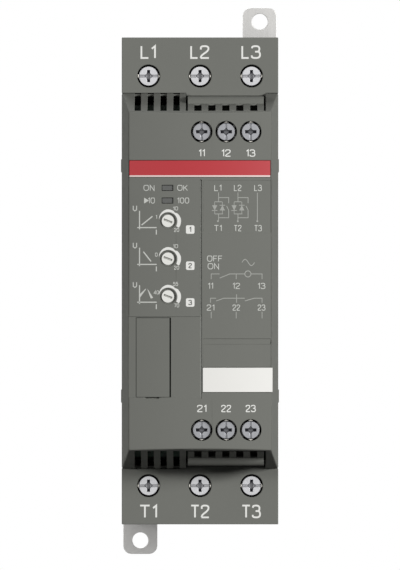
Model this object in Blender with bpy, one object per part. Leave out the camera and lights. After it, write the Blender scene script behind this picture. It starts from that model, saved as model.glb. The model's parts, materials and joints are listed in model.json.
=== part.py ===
"""A three-phase soft starter for a motor, 45 mm wide, for a rail or a wall.

The frame: +X to the right, +Z up, and the front faces -Y.
The origin is the centre of the rail seat, where the rail's face rests.
Depths are measured from the wall towards the front, so a larger depth is nearer the viewer.
"""

import math
from dataclasses import dataclass

import bmesh
import bpy
from mathutils import Vector

MM = 0.001
RIGHT_ANGLE = 90

# Body
BODY_WIDTH = 45 * MM
BODY_HEIGHT = 140 * MM
BODY_DEPTH = 128 * MM
COVER_RISE = 28 * MM
BLOCK_HEIGHT = 16 * MM
WALL = 1.8 * MM
SEAM = 0.3 * MM
EDGE_ROUND = 0.5 * MM
HOLE_SIDES = 24
PIN_SIDES = 16

HALF_WIDTH = BODY_WIDTH / 2
HALF_HEIGHT = BODY_HEIGHT / 2
TERMINAL_FACE = BODY_DEPTH - COVER_RISE
COVER_BASE = TERMINAL_FACE + SEAM

# Raised front cover
COVER_BASE_HEIGHT = BODY_HEIGHT - 2 * BLOCK_HEIGHT
COVER_HALF = COVER_BASE_HEIGHT / 2
PANEL_SIDE_DRAFT = 2 * MM
PANEL_END_DRAFT = 5.88 * MM
PANEL_WIDTH = BODY_WIDTH - 2 * PANEL_SIDE_DRAFT
PANEL_HALF = PANEL_WIDTH / 2
PANEL_HEIGHT = COVER_BASE_HEIGHT - 2 * PANEL_END_DRAFT
PANEL_UNITS = 97
PANEL_UNIT = PANEL_HEIGHT / PANEL_UNITS
PANEL_CROWN = 2 * MM
CROWN_COLUMNS = 12
LATCH_HEIGHT = 33.4 * PANEL_UNIT
LATCH_LENGTH = 5.5 * MM
LATCH_TAPER = 0.9 * MM
LATCH_THICKNESS = 1.2 * MM
LATCH_REACH = 10 * MM
LATCH_PROUD = 0.22 * MM
LATCH_NUB_SETBACK = 8.4 * MM
LATCH_NUB_DEPTH = 3.8 * MM
LATCH_NUB_DEPTHS = (TERMINAL_FACE - LATCH_NUB_SETBACK, TERMINAL_FACE - LATCH_NUB_SETBACK + LATCH_NUB_DEPTH)

# Control terminals
CONTROL_PITCH = 7.01 * MM
CONTROL_SIDE_MARGIN = 15.01 * MM
CONTROL_END_MARGIN = 11.34 * MM
CONTROL_CENTRE_X = HALF_WIDTH - CONTROL_SIDE_MARGIN
CONTROL_HEIGHT = COVER_HALF - CONTROL_END_MARGIN
MODULE_WIDTH = 21.77 * MM
MODULE_SIDE_MARGIN = 4.22 * MM
MODULE_EDGES = (HALF_WIDTH - MODULE_SIDE_MARGIN - MODULE_WIDTH, HALF_WIDTH - MODULE_SIDE_MARGIN)
MODULE_GAP = 0.56 * MM
MODULE_REAR = COVER_BASE + SEAM
MODULE_SETBACK = 3.6 * MM
MODULE_FOOT_MARGIN = 15.4 * MM
MODULE_FACE = BODY_DEPTH - MODULE_SETBACK
MODULE_FOOT_HEIGHT = COVER_HALF - MODULE_FOOT_MARGIN
MODULE_FRONT_WALL = 1.1 * MM
MODULE_CHAMBER_WIDTH = 6.2 * MM
MODULE_CHAMBER_MARGIN = 7.4 * MM
MODULE_CHAMBER_TOP = COVER_HALF - MODULE_CHAMBER_MARGIN
NOSE_MARGIN = 1 * MM
NOSE_TOP = COVER_HALF - NOSE_MARGIN
NOSE_ROUND = 2.2 * MM
NOSE_STEPS = 6
COMB_COUNT = 5
COMB_WIDTH = 2.08 * MM
COMB_PITCH = 4 * MM
COMB_MARGINS = (6.6 * MM, 3.7 * MM)
COMB_FLOOR = COVER_HALF - COMB_MARGINS[0]
COMB_ROOF = COVER_HALF - COMB_MARGINS[1]
COMB_TUNNEL = 1.7 * MM
WIRE_HOLE_RADIUS = 1.8 * MM

# Cooling slots in the cover's steep walls, and the notches behind them in the housing's rim
VENT_WIDTH = 1.82 * MM
VENT_PITCH = 3.7 * MM
VENT_SIDE_MARGIN = 4.66 * MM
VENT_FIRST_X = VENT_SIDE_MARGIN - HALF_WIDTH
VENT_ROOM = MODULE_EDGES[0] - MODULE_GAP - (WALL + VENT_WIDTH) / 2 - VENT_FIRST_X
VENT_COUNT = int(VENT_ROOM / VENT_PITCH) + 1
VENT_MARGIN = 2.7 * MM
VENT_DEPTHS = (COVER_BASE - 2 * SEAM, BODY_DEPTH - VENT_MARGIN)
VENT_NOTCH_DEPTH = 9 * MM
VENT_NOTCH_WALL = 0.7 * MM

# Power terminals
POWER_COUNT = 3
POWER_END_MARGIN = 11.1 * MM
POWER_PITCH = (BODY_WIDTH - 2 * SEAM) / POWER_COUNT
POWER_HEIGHT = HALF_HEIGHT - POWER_END_MARGIN
BLOCK_DEPTH = 24.3 * MM
BLOCK_REAR = TERMINAL_FACE - BLOCK_DEPTH
BLOCK_FRONT_WALL = 2 * MM
BLOCK_LIP = 0.8 * MM
BLOCK_LIP_DEPTH = 1.5 * MM
CHAMBER_WIDTH = 10.4 * MM
ENTRY_WIDTH = 8.2 * MM
ENTRY_LENGTH = 7.6 * MM
ENTRY_ROUND = 1.6 * MM

# Setting dials
DIAL_SIDE_MARGIN = 13.32 * MM
DIAL_X = DIAL_SIDE_MARGIN - HALF_WIDTH
DIAL_TOP_HEIGHT = 17.27 * PANEL_UNIT
DIAL_PITCH = 10.88 * PANEL_UNIT
DIAL_COUNT = 3
DIAL_RADIUS = 1.8 * MM
DIAL_COLLAR_RADIUS = 2.08 * MM
DIAL_COLLAR_DEPTH = 0.7 * MM
DIAL_HOLE_RADIUS = 2.3 * MM
DIAL_HEAD = 4.8 * MM
DIAL_RECESS = 0.3 * MM
DIAL_SLOT = 2.6 * MM
DIAL_SLOT_WIDTH = 0.6 * MM
DIAL_SLOT_DEPTH = 0.45 * MM
DIAL_SLOT_TURN = -20
SPINDLE_RADIUS = 1.4 * MM
POT_SIZE = 6.6 * MM
POT_DEPTH = 5.6 * MM

# Light guides behind the signal windows
LIGHT_SIDE_MARGIN = 13.2 * MM
LIGHT_X = LIGHT_SIDE_MARGIN - HALF_WIDTH
LIGHT_HEIGHTS = (26.8 * PANEL_UNIT, 23.15 * PANEL_UNIT)
LIGHT_WIDTH = 3.3 * MM
LIGHT_HEIGHT = 1.7 * MM
LIGHT_CLEARANCE = 0.15 * MM
LIGHT_RECESS = 0.3 * MM
LED_DEPTH = 1 * MM

# Coloured strip across the front
STRIP_MARGINS = (0.3 * MM, 0.4 * MM)
STRIP_EDGES = (STRIP_MARGINS[0] - PANEL_HALF, PANEL_HALF - STRIP_MARGINS[1])
STRIP_HEIGHT = 4.71 * MM
STRIP_CENTRE = 32.325 * PANEL_UNIT
STRIP_HEIGHTS = (STRIP_CENTRE - STRIP_HEIGHT / 2, STRIP_CENTRE + STRIP_HEIGHT / 2)
STRIP_THICKNESS = 0.55 * MM
STRIP_CLEARANCE = 0.12 * MM

# Marker plate and the relief around it
RELIEF_LEFT = 0.84 * MM
MARKER_OVERHANG = 0.25 * MM
MARKER_EDGES = (0.81 * MM, PANEL_HALF + MARKER_OVERHANG)
MARKER_HEIGHT = 7 * MM
MARKER_CENTRE = -28.55 * PANEL_UNIT
MARKER_HEIGHTS = (MARKER_CENTRE - MARKER_HEIGHT / 2, MARKER_CENTRE + MARKER_HEIGHT / 2)
MARKER_THICKNESS = 0.8 * MM
MARKER_PROUD = 0.1 * MM
RELIEF_MARGIN = 0.2 * MM
RELIEF_EDGES = (RELIEF_LEFT, PANEL_HALF - RELIEF_MARGIN)
DIAGRAM_HEIGHT = 15 * MM
DIAGRAM_GAP = 0.95 * MM
DIAGRAM_TOP = STRIP_HEIGHTS[0] - DIAGRAM_GAP
DIAGRAM_HEIGHTS = (DIAGRAM_TOP - DIAGRAM_HEIGHT, DIAGRAM_TOP)
SHELF_HEIGHT = 6.2 * MM
SHELF_GAP = 0.5 * MM
SHELF_FOOT = MARKER_HEIGHTS[1] + SHELF_GAP
SHELF_HEIGHTS = (SHELF_FOOT, SHELF_FOOT + SHELF_HEIGHT)
RELIEF_DEPTH = 0.25 * MM
FIELD_DEPTH = 0.15 * MM
GROOVE_X = 0.29 * MM
GROOVE_WIDTH = 0.44 * MM
GROOVE_DEPTH = 0.35 * MM
GROOVE_ENDS = (1.8 * MM, 0.85 * MM)
GROOVE_HEIGHTS = (MARKER_HEIGHTS[0] - GROOVE_ENDS[0], STRIP_HEIGHTS[0] - GROOVE_ENDS[1])
STEP_LINE_GAP = 1.45 * MM
STEP_LINE_HEIGHT = SHELF_HEIGHTS[1] + STEP_LINE_GAP
STEP_LINE_WIDTH = 0.3 * MM

# Port with its blanking cover
PORT_SIDE_MARGIN = 4.3 * MM
PORT_WIDTH = 9.48 * MM
PORT_EDGES = (PORT_SIDE_MARGIN - HALF_WIDTH, PORT_SIDE_MARGIN + PORT_WIDTH - HALF_WIDTH)
PORT_HEIGHTS = (-33.5 * PANEL_UNIT, -10.7 * PANEL_UNIT)
PORT_GAPS = (0.16 * MM, 0.38 * MM)
PORT_GAP_Z = 0.12 * MM
PORT_COVER_THICKNESS = 1.2 * MM
PORT_SKIRT = 1 * MM
PORT_SKIRT_INSET = 0.35 * MM
PORT_SKIRT_DEPTH = 4 * MM
PORT_SHAFT_WALL = 1 * MM
PORT_SHAFT_LENGTH = 16 * MM
PORT_SHAFT_REAR = BODY_DEPTH - PORT_SHAFT_LENGTH
PORT_FIELD_MARGIN = 1 * MM
PORT_FIELD_EDGES = (PORT_FIELD_MARGIN - HALF_WIDTH, GROOVE_X)
PORT_FIELD_GAPS = (0.15 * MM, 0.4 * MM)
PORT_FIELD_HEIGHTS = (PORT_HEIGHTS[0] - PORT_FIELD_GAPS[0], PORT_HEIGHTS[1] + PORT_FIELD_GAPS[1])
PRY_MARGIN = 2.6 * MM
PRY_WIDTH = 3.9 * MM
PRY_EDGES = (PORT_EDGES[0] + PRY_MARGIN, PORT_EDGES[0] + PRY_MARGIN + PRY_WIDTH)
PRY_HEIGHT = 0.45 * MM
PRY_DEPTH = 1.2 * MM
PLUG_SIZE = (4.6 * MM, 15 * MM)
PLUG_DEPTH = 8 * MM

# Boards and semiconductors
BOARD = 1.6 * MM
LEDGE = 1.5 * MM
CONTROL_BOARD_SETBACK = 1.4 * MM
CONTROL_BOARD_MARGINS = (3.7 * MM, 3.5 * MM)
CONTROL_BOARD_FACE = TERMINAL_FACE - CONTROL_BOARD_SETBACK
CONTROL_BOARD_WIDTH = BODY_WIDTH - 2 * CONTROL_BOARD_MARGINS[0]
CONTROL_BOARD_HEIGHT = COVER_BASE_HEIGHT - 2 * CONTROL_BOARD_MARGINS[1]
CONTROL_LEDGE_SHARE = 0.555
CONTROL_LEDGE_HEIGHT = CONTROL_BOARD_HEIGHT * CONTROL_LEDGE_SHARE
POWER_BOARD_SETBACK = 34 * MM
POWER_BOARD_MARGINS = (3 * MM, 8 * MM)
POWER_BOARD_FACE = TERMINAL_FACE - POWER_BOARD_SETBACK
POWER_BOARD_WIDTH = BODY_WIDTH - 2 * POWER_BOARD_MARGINS[0]
POWER_BOARD_HEIGHT = BODY_HEIGHT - 2 * POWER_BOARD_MARGINS[1]
RELAY_SIZE = (13 * MM, 26 * MM)
RELAY_DEPTH = 15 * MM
RELAY_PITCH_X = 16 * MM
THYRISTOR_MARGIN = 6.5 * MM
THYRISTOR_WIDTH = BODY_WIDTH - 2 * THYRISTOR_MARGIN
THYRISTOR_HEIGHT = 36 * MM
THYRISTOR_DEPTH = 11.7 * MM
THYRISTOR_CENTRE = 26 * MM
THYRISTOR_SHOULDER = 3 * MM

# Heat sink
SINK_END_MARGIN = 2.5 * MM
SINK_HEIGHT = BODY_HEIGHT - 2 * SINK_END_MARGIN
SINK_BASE = 6 * MM
SINK_SETBACK = 50 * MM
SEAM_OVERLAP = 2 * MM
SINK_FACE = TERMINAL_FACE - SINK_SETBACK
HOUSING_SEAM = SINK_FACE + SEAM_OVERLAP
SINK_CLEARANCE = 0.5 * MM
SINK_WIDTH = BODY_WIDTH - 2 * (WALL + SINK_CLEARANCE)
FIN_COUNT = 9
FIN_THICKNESS = 1.6 * MM
FIN_CLEARANCE = 0.6 * MM
SLOT_LAND = 5 * MM
SLOT_RIB = 0.5 * MM

# Mounting plate with its rail channel
SHEET = 1.5 * MM
RAIL_SEAT = 7.5 * MM
RAIL_HEIGHT = 35 * MM
RAIL_FLANGE = 1 * MM
RAIL_CLEARANCE = 1.1 * MM
PLATE_CHANNEL = RAIL_HEIGHT / 2 + RAIL_CLEARANCE
TAB_WIDTH = 10 * MM
TAB_HEIGHT = 10 * MM
TAB_ROUND = 2.4 * MM
TAB_HOLE_RADIUS = 2.33 * MM
TAB_HOLE_REACH = 6 * MM
TAB_HOLE_X = HALF_WIDTH - TAB_WIDTH / 2
TAB_HOLE_HEIGHT = HALF_HEIGHT + TAB_HOLE_REACH
HOOK_MARGIN = 9.5 * MM
HOOK_X = HALF_WIDTH - HOOK_MARGIN
HOOK_WIDTH = 8 * MM
HOOK_BITE = 1.3 * MM
HOOK_GAP = 0.6 * MM
BOSS_SIZE = (6.5 * MM, 8 * MM)

# Spring-loaded rail clip
CLIP_WIDTH = 12 * MM
CLIP_THICKNESS = 2 * MM
CLIP_GAP = 0.5 * MM
CLIP_FOOT_CLEARANCE = 1 * MM
CLIP_BITE = 1.1 * MM
CLIP_CHAMFER = 1.6 * MM
CLIP_TRAVEL = 3.6 * MM
CLIP_FOOT_HEIGHT = WALL + CLIP_TRAVEL + CLIP_FOOT_CLEARANCE - HALF_HEIGHT
CLIP_UNITS = 52.5
CLIP_UNIT = (HALF_HEIGHT - RAIL_HEIGHT / 2) / CLIP_UNITS
CLIP_WINDOW_WIDTH = 5.4 * MM
CLIP_WINDOW_FOOT = 7.6 * MM
CLIP_WINDOW_HEIGHTS = (CLIP_FOOT_HEIGHT + CLIP_WINDOW_FOOT, -RAIL_HEIGHT / 2 - 12.5 * CLIP_UNIT)
CLIP_EYE_WIDTH = 5 * MM
CLIP_EYE_FEET = (1.8 * MM, 5.6 * MM)
CLIP_EYE_HEIGHTS = (CLIP_FOOT_HEIGHT + CLIP_EYE_FEET[0], CLIP_FOOT_HEIGHT + CLIP_EYE_FEET[1])
GUIDE_WALL = 1.5 * MM
GUIDE_LIP = 1.5 * MM
GUIDE_TOP = 12.6 * MM
GUIDE_HEIGHTS = ((-RAIL_HEIGHT / 2 - 26.5 * CLIP_UNIT, -RAIL_HEIGHT / 2 - 19.5 * CLIP_UNIT),
                 (CLIP_FOOT_HEIGHT + CLIP_WINDOW_FOOT, CLIP_FOOT_HEIGHT + GUIDE_TOP))
SPRING_STOP_TOP = CLIP_FOOT_HEIGHT + GUIDE_TOP + CLIP_GAP
SPRING_STOP_WIDTH = 4.4 * MM
SPRING_RADIUS = 1.7 * MM
SPRING_WIRE_RADIUS = 0.3 * MM
SPRING_TURNS = 8
SPRING_STEPS = 12
TOOL_SLOT_WIDTH = 10 * MM
TOOL_SLOT_DEPTHS = (2.6 * MM, 8.4 * MM)

BLOCK_INNER_HEIGHT = HALF_HEIGHT - BLOCK_HEIGHT
HOUSING_STEP_HEIGHT = BLOCK_INNER_HEIGHT - SEAM
MODULE_LIP = 1.2 * MM
MODULE_LIP_HEIGHT = BLOCK_INNER_HEIGHT - BLOCK_LIP - SEAM / 3


@dataclass(frozen=True)
class Clamp:
    """One kind of screw terminal, whose cage rises towards the screw head as it is tightened."""

    head_face: float
    head_radius: float
    head_length: float
    hole_radius: float
    shank_radius: float
    shank_clearance: float
    strip: float
    reach: float
    nut: float
    tip_room: float
    wire: float
    bite: float
    bar: float
    side: float
    window: float
    half_height: float
    strip_clearance: float
    ear_gap: float
    ear_tip_gap: float
    ear_half: float
    ear_recess: float
    wing_length: float
    wing_width: float
    diamond: float
    recess_depth: float
    diamond_depth: float
    slot_width: float
    slot_depth: float

    @property
    def travel(self):
        """How far the cage rises from open to closed."""
        return self.wire - self.bite

    @property
    def flange_face(self):
        """Depth of the strip's flange, just behind the screw head."""
        return self.head_face - self.head_length - SEAM

    @property
    def cage_face(self):
        """Depth of the cage's front face when the terminal is open."""
        return self.flange_face - self.strip - SEAM - self.reach - self.travel

    @property
    def tongue_face(self):
        """Depth of the tongue that the wire is pressed against."""
        return self.cage_face - self.nut - self.tip_room

    @property
    def tip(self):
        """Depth of the screw's tip, just clear of the tongue."""
        return self.tongue_face + SEAM

    @property
    def wire_depths(self):
        """The open space for the wire, rear and front."""
        front = self.tongue_face - self.strip
        return front - self.wire, front

    @property
    def cage_length(self):
        """Length of the cage along the screw."""
        return self.nut + self.tip_room + self.strip + self.wire + self.bar

    @property
    def half_strip(self):
        """Half the width of the contact strip inside the cage."""
        return self.window / 2 - self.strip_clearance


POWER = Clamp(
    head_face=TERMINAL_FACE - 0.8 * MM, head_radius=2.75 * MM, head_length=2.6 * MM, hole_radius=3.3 * MM,
    shank_radius=1.95 * MM, shank_clearance=0.25 * MM, strip=1.2 * MM, reach=0 * MM, nut=2.4 * MM,
    tip_room=0.7 * MM, wire=5.2 * MM, bite=0.2 * MM, bar=1.6 * MM, side=1 * MM, window=7.2 * MM,
    half_height=3.4 * MM, strip_clearance=0.35 * MM, ear_gap=0.13 * MM, ear_tip_gap=0.1 * MM,
    ear_half=0.85 * MM, ear_recess=0.35 * MM, wing_length=3.47 * MM, wing_width=0.88 * MM,
    diamond=2.5 * MM, recess_depth=1.5 * MM, diamond_depth=0.6 * MM, slot_width=0.7 * MM,
    slot_depth=0.4 * MM,
)
CONTROL = Clamp(
    head_face=BODY_DEPTH - 1.4 * MM, head_radius=2.5 * MM, head_length=3.5 * MM, hole_radius=3.1 * MM,
    shank_radius=1.45 * MM, shank_clearance=0.2 * MM, strip=0.8 * MM, reach=2 * MM, nut=1.8 * MM,
    tip_room=0.7 * MM, wire=3.4 * MM, bite=0.2 * MM, bar=1.2 * MM, side=0.6 * MM, window=4.2 * MM,
    half_height=2.5 * MM, strip_clearance=0.3 * MM, ear_gap=0.15 * MM, ear_tip_gap=0.1 * MM,
    ear_half=0.8 * MM, ear_recess=0.35 * MM, wing_length=3.3 * MM, wing_width=0.88 * MM,
    diamond=2.2 * MM, recess_depth=1.4 * MM, diamond_depth=0.55 * MM, slot_width=0.6 * MM,
    slot_depth=0.35 * MM,
)
POWER_XS = tuple(POWER_PITCH * step for step in (-1, 0, 1))
CONTROL_XS = tuple(CONTROL_CENTRE_X + CONTROL_PITCH * step for step in (-1, 0, 1))


def y_at(depth):
    """Row coordinate of a depth measured from the wall."""
    return RAIL_SEAT - depth


def make_material(name, colour, roughness, metallic=0.0):
    """A plain surface in the piece's own colour."""
    material = bpy.data.materials.new(name)
    material.use_nodes = True
    shader = material.node_tree.nodes["Principled BSDF"]
    shader.inputs["Base Color"].default_value = (*colour, 1.0)
    shader.inputs["Roughness"].default_value = roughness
    shader.inputs["Metallic"].default_value = metallic
    return material


def corner(axis, u, v, w):
    """A point from its two coordinates in an outline's plane and its place along the axis."""
    if axis == "X":
        return Vector((w, u, v))
    if axis == "Y":
        return Vector((u, w, v))
    return Vector((u, v, w))


def add_prism(bm, axis, outline, low, high):
    """An outline carried straight along an axis.

    The outline is in (y, z) for X, (x, z) for Y and (x, y) for Z.
    """
    rings = [[bm.verts.new(corner(axis, u, v, w)) for u, v in outline] for w in (low, high)]
    bm.faces.new(rings[0])
    bm.faces.new(reversed(rings[1]))
    count = len(outline)
    for index in range(count):
        after = (index + 1) % count
        bm.faces.new((rings[0][index], rings[0][after], rings[1][after], rings[1][index]))


def add_box(bm, xs, depths, heights):
    """A box from its edges along X, its depths from the wall and its heights."""
    ys = sorted(y_at(depth) for depth in depths)
    outline = [(xs[0], heights[0]), (xs[1], heights[0]), (xs[1], heights[1]), (xs[0], heights[1])]
    add_prism(bm, "Y", outline, ys[0], ys[1])


def circle(u, v, radius, count):
    """Points of a circle about (u, v)."""
    turns = [math.tau * (index + 0.5) / count for index in range(count)]
    return [(u + radius * math.cos(turn), v + radius * math.sin(turn)) for turn in turns]


def arc(u, v, radius, start, end, count):
    """Points of an arc about (u, v), from one angle to another in degrees."""
    angles = [math.radians(start + (end - start) * index / count) for index in range(count + 1)]
    return [(u + radius * math.cos(angle), v + radius * math.sin(angle)) for angle in angles]


def rounded_box_outline(us, vs, radius, count=3):
    """A rectangle with round corners."""
    points = []
    right, left, top, low = us[1] - radius, us[0] + radius, vs[1] - radius, vs[0] + radius
    for quarter, (u, v) in enumerate(((right, top), (left, top), (left, low), (right, low))):
        points += arc(u, v, radius, RIGHT_ANGLE * quarter, RIGHT_ANGLE * (quarter + 1), count)
    return points


def add_object(name, bm, material=None):
    """Turn a bmesh into an object of the scene, with its faces pointing out."""
    bmesh.ops.recalc_face_normals(bm, faces=bm.faces)
    mesh = bpy.data.meshes.new(name)
    bm.to_mesh(mesh)
    bm.free()
    item = bpy.data.objects.new(name, mesh)
    bpy.context.collection.objects.link(item)
    if material:
        mesh.materials.append(material)
    return item


def combine(target, bm, operation, crossing=False):
    """Join a tool shape to the target or cut it away; a crossing tool has solids that overlap."""
    tool = add_object(f"{target.name}_tool_{len(target.modifiers)}", bm)
    tool.hide_render = True
    tool.display_type = "WIRE"
    modifier = target.modifiers.new(operation.lower(), "BOOLEAN")
    modifier.operation = operation
    modifier.solver = "EXACT"
    modifier.use_self = crossing
    modifier.object = tool


def finished_mesh(blank):
    """The evaluated mesh of a blank, which is then removed with its tools."""
    bpy.context.view_layer.update()
    tools = [modifier.object for modifier in blank.modifiers]
    evaluated = blank.evaluated_get(bpy.context.evaluated_depsgraph_get())
    mesh = bpy.data.meshes.new_from_object(evaluated)
    mesh.name = blank.name
    for item in [blank, *tools]:
        bpy.data.objects.remove(item, do_unlink=True)
    return mesh


def place(name, mesh, x, depth, z):
    """An object that uses a shared mesh, set at its own place."""
    item = bpy.data.objects.new(name, mesh)
    item.location = (x, y_at(depth), z)
    bpy.context.collection.objects.link(item)
    return item


def smooth(item, angle=35):
    """Shade round faces smooth and keep the real edges."""
    item.data.shade_smooth()
    item.data.set_sharp_from_angle(angle=math.radians(angle))


def cover_half_height(depth):
    """Half height of the drafted cover at a depth."""
    slope = (COVER_BASE_HEIGHT - PANEL_HEIGHT) / 2 / (BODY_DEPTH - TERMINAL_FACE)
    return COVER_BASE_HEIGHT / 2 - slope * (depth - TERMINAL_FACE)


def cover_half_width(depth):
    """Half width of the drafted cover at a depth."""
    slope = (BODY_WIDTH - PANEL_WIDTH) / 2 / (BODY_DEPTH - PANEL_CROWN - TERMINAL_FACE)
    return BODY_WIDTH / 2 - slope * (depth - TERMINAL_FACE)


def panel_depth(x):
    """Depth of the crowned front panel at x."""
    return BODY_DEPTH - PANEL_CROWN * (x / (PANEL_WIDTH / 2)) ** 2


def add_cover_block(bm, base, inset):
    """The drafted and crowned block of the cover, or its hollow when inset by the wall."""
    edge = PANEL_WIDTH / 2 - inset
    columns = [edge * (2 * index / CROWN_COLUMNS - 1) for index in range(CROWN_COLUMNS + 1)]
    front = []
    for x in columns:
        depth = panel_depth(x) - inset
        front.append((x, depth, cover_half_height(depth) - inset))
    half_width = cover_half_width(base) - inset
    half_height = cover_half_height(base) - inset
    uppers = [bm.verts.new((x, y_at(depth), height)) for x, depth, height in front]
    lowers = [bm.verts.new((x, y_at(depth), -height)) for x, depth, height in front]
    corners = {(side, end): bm.verts.new((side * half_width, y_at(base), end * half_height))
               for side in (-1, 1) for end in (-1, 1)}
    for index in range(CROWN_COLUMNS):
        bm.faces.new((uppers[index], uppers[index + 1], lowers[index + 1], lowers[index]))
    bm.faces.new((corners[-1, 1], corners[1, 1], *reversed(uppers)))
    bm.faces.new((corners[-1, -1], corners[1, -1], *reversed(lowers)))
    bm.faces.new((corners[-1, 1], uppers[0], lowers[0], corners[-1, -1]))
    bm.faces.new((corners[1, 1], uppers[-1], lowers[-1], corners[1, -1]))
    bm.faces.new((corners[-1, 1], corners[1, 1], corners[1, -1], corners[-1, -1]))


def add_crowned_slab(bm, xs, heights, below, columns=6):
    """A plate that follows the crowned panel, between two distances below its surface."""
    places = [xs[0] + (xs[1] - xs[0]) * index / columns for index in range(columns + 1)]
    outer = [(x, y_at(panel_depth(x) - below[0])) for x in places]
    inner = [(x, y_at(panel_depth(x) - below[1])) for x in reversed(places)]
    add_prism(bm, "Z", outer + inner, heights[0], heights[1])


def add_steep_cut(bm, xs, depths, sign, margin=1.0 * MM):
    """A cutter through the cover's steep wall, which follows its slope."""
    low, high = depths
    outline = [(y_at(low), sign * (cover_half_height(low) - WALL - margin)),
               (y_at(low), sign * (cover_half_height(low) + margin)),
               (y_at(high), sign * (cover_half_height(high) + margin)),
               (y_at(high), sign * (cover_half_height(high) - WALL - margin / 2))]
    add_prism(bm, "X", outline, xs[0], xs[1])


def make_front_cover(material):
    """The raised cover: a drafted and crowned shell with vents, windows, pockets and four latches."""
    bm = bmesh.new()
    add_cover_block(bm, COVER_BASE, 0.0)
    bmesh.ops.recalc_face_normals(bm, faces=bm.faces)
    rims = [edge for edge in bm.edges
            if not all(abs(vert.co.y - y_at(COVER_BASE)) < SEAM / 2 for vert in edge.verts)
            and edge.calc_face_angle() > math.radians(30)]
    bmesh.ops.bevel(bm, geom=rims, offset=EDGE_ROUND, segments=2, profile=0.5, affect="EDGES")
    cover = add_object("front_cover", bm, material)

    bm = bmesh.new()
    add_cover_block(bm, COVER_BASE - SEAM, WALL)
    combine(cover, bm, "DIFFERENCE")

    bm = bmesh.new()
    for side in (-1, 1):
        for end in (-1, 1):
            add_latch(bm, side, end)
    shaft_xs = (PORT_EDGES[0] - PORT_GAPS[0] - PORT_SHAFT_WALL,
                PORT_EDGES[1] + PORT_GAPS[1] + PORT_SHAFT_WALL)
    rim = PORT_GAP_Z + PORT_SHAFT_WALL
    add_box(bm, shaft_xs, (PORT_SHAFT_REAR, panel_depth(PORT_EDGES[0]) - WALL / 2),
            (PORT_HEIGHTS[0] - rim, PORT_HEIGHTS[1] + rim))
    combine(cover, bm, "UNION", crossing=True)

    bm = bmesh.new()
    for sign in (-1, 1):
        for x in vent_xs():
            add_steep_cut(bm, (x - VENT_WIDTH / 2, x + VENT_WIDTH / 2), VENT_DEPTHS, sign)
        edges = (MODULE_EDGES[0] - MODULE_GAP, MODULE_EDGES[1] + MODULE_GAP)
        add_steep_cut(bm, edges, VENT_DEPTHS, sign)
        for x in CONTROL_XS:
            add_prism(bm, "Y", circle(x, sign * CONTROL_HEIGHT, CONTROL.hole_radius, HOLE_SIDES),
                      y_at(BODY_DEPTH + WALL), y_at(BODY_DEPTH - PANEL_CROWN - 2 * WALL))
    for index in range(DIAL_COUNT):
        height = DIAL_TOP_HEIGHT - index * DIAL_PITCH
        add_prism(bm, "Y", circle(DIAL_X, height, DIAL_HOLE_RADIUS, HOLE_SIDES),
                  y_at(BODY_DEPTH + WALL), y_at(BODY_DEPTH - PANEL_CROWN - 2 * WALL))
    for height in LIGHT_HEIGHTS:
        add_box(bm, (LIGHT_X - LIGHT_WIDTH / 2, LIGHT_X + LIGHT_WIDTH / 2),
                (BODY_DEPTH - 2 * WALL - PANEL_CROWN, BODY_DEPTH + WALL),
                (height - LIGHT_HEIGHT / 2, height + LIGHT_HEIGHT / 2))
    combine(cover, bm, "DIFFERENCE")

    bm = bmesh.new()
    proud = -WALL
    add_crowned_slab(bm, (STRIP_EDGES[0] - STRIP_CLEARANCE, STRIP_EDGES[1] + STRIP_CLEARANCE),
                     (STRIP_HEIGHTS[0] - STRIP_CLEARANCE, STRIP_HEIGHTS[1] + STRIP_CLEARANCE),
                     (proud, STRIP_THICKNESS + SEAM), 8)
    add_crowned_slab(bm, (MARKER_EDGES[0] - STRIP_CLEARANCE, HALF_WIDTH),
                     (MARKER_HEIGHTS[0] - STRIP_CLEARANCE, MARKER_HEIGHTS[1] + STRIP_CLEARANCE),
                     (proud, MARKER_THICKNESS - MARKER_PROUD + SEAM))
    add_crowned_slab(bm, RELIEF_EDGES, DIAGRAM_HEIGHTS, (proud, FIELD_DEPTH))
    add_crowned_slab(bm, RELIEF_EDGES, SHELF_HEIGHTS, (proud, FIELD_DEPTH))
    add_crowned_slab(bm, RELIEF_EDGES, (STEP_LINE_HEIGHT - STEP_LINE_WIDTH / 2,
                                        STEP_LINE_HEIGHT + STEP_LINE_WIDTH / 2), (proud, RELIEF_DEPTH))
    add_crowned_slab(bm, PORT_FIELD_EDGES, PORT_FIELD_HEIGHTS, (proud, RELIEF_DEPTH))
    combine(cover, bm, "DIFFERENCE")

    bm = bmesh.new()
    add_box(bm, (GROOVE_X - GROOVE_WIDTH / 2, GROOVE_X + GROOVE_WIDTH / 2),
            (BODY_DEPTH - GROOVE_DEPTH, BODY_DEPTH + WALL), GROOVE_HEIGHTS)
    add_box(bm, (PORT_EDGES[0] - PORT_GAPS[0], PORT_EDGES[1] + PORT_GAPS[1]),
            (PORT_SHAFT_REAR - WALL, BODY_DEPTH + WALL),
            (PORT_HEIGHTS[0] - PORT_GAP_Z, PORT_HEIGHTS[1] + PORT_GAP_Z))
    add_crowned_slab(bm, PRY_EDGES, (PORT_HEIGHTS[0] - PRY_HEIGHT - PORT_GAP_Z / 2, PORT_HEIGHTS[0]),
                     (proud, PRY_DEPTH), 2)
    combine(cover, bm, "DIFFERENCE", crossing=True)
    smooth(cover)


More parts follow.
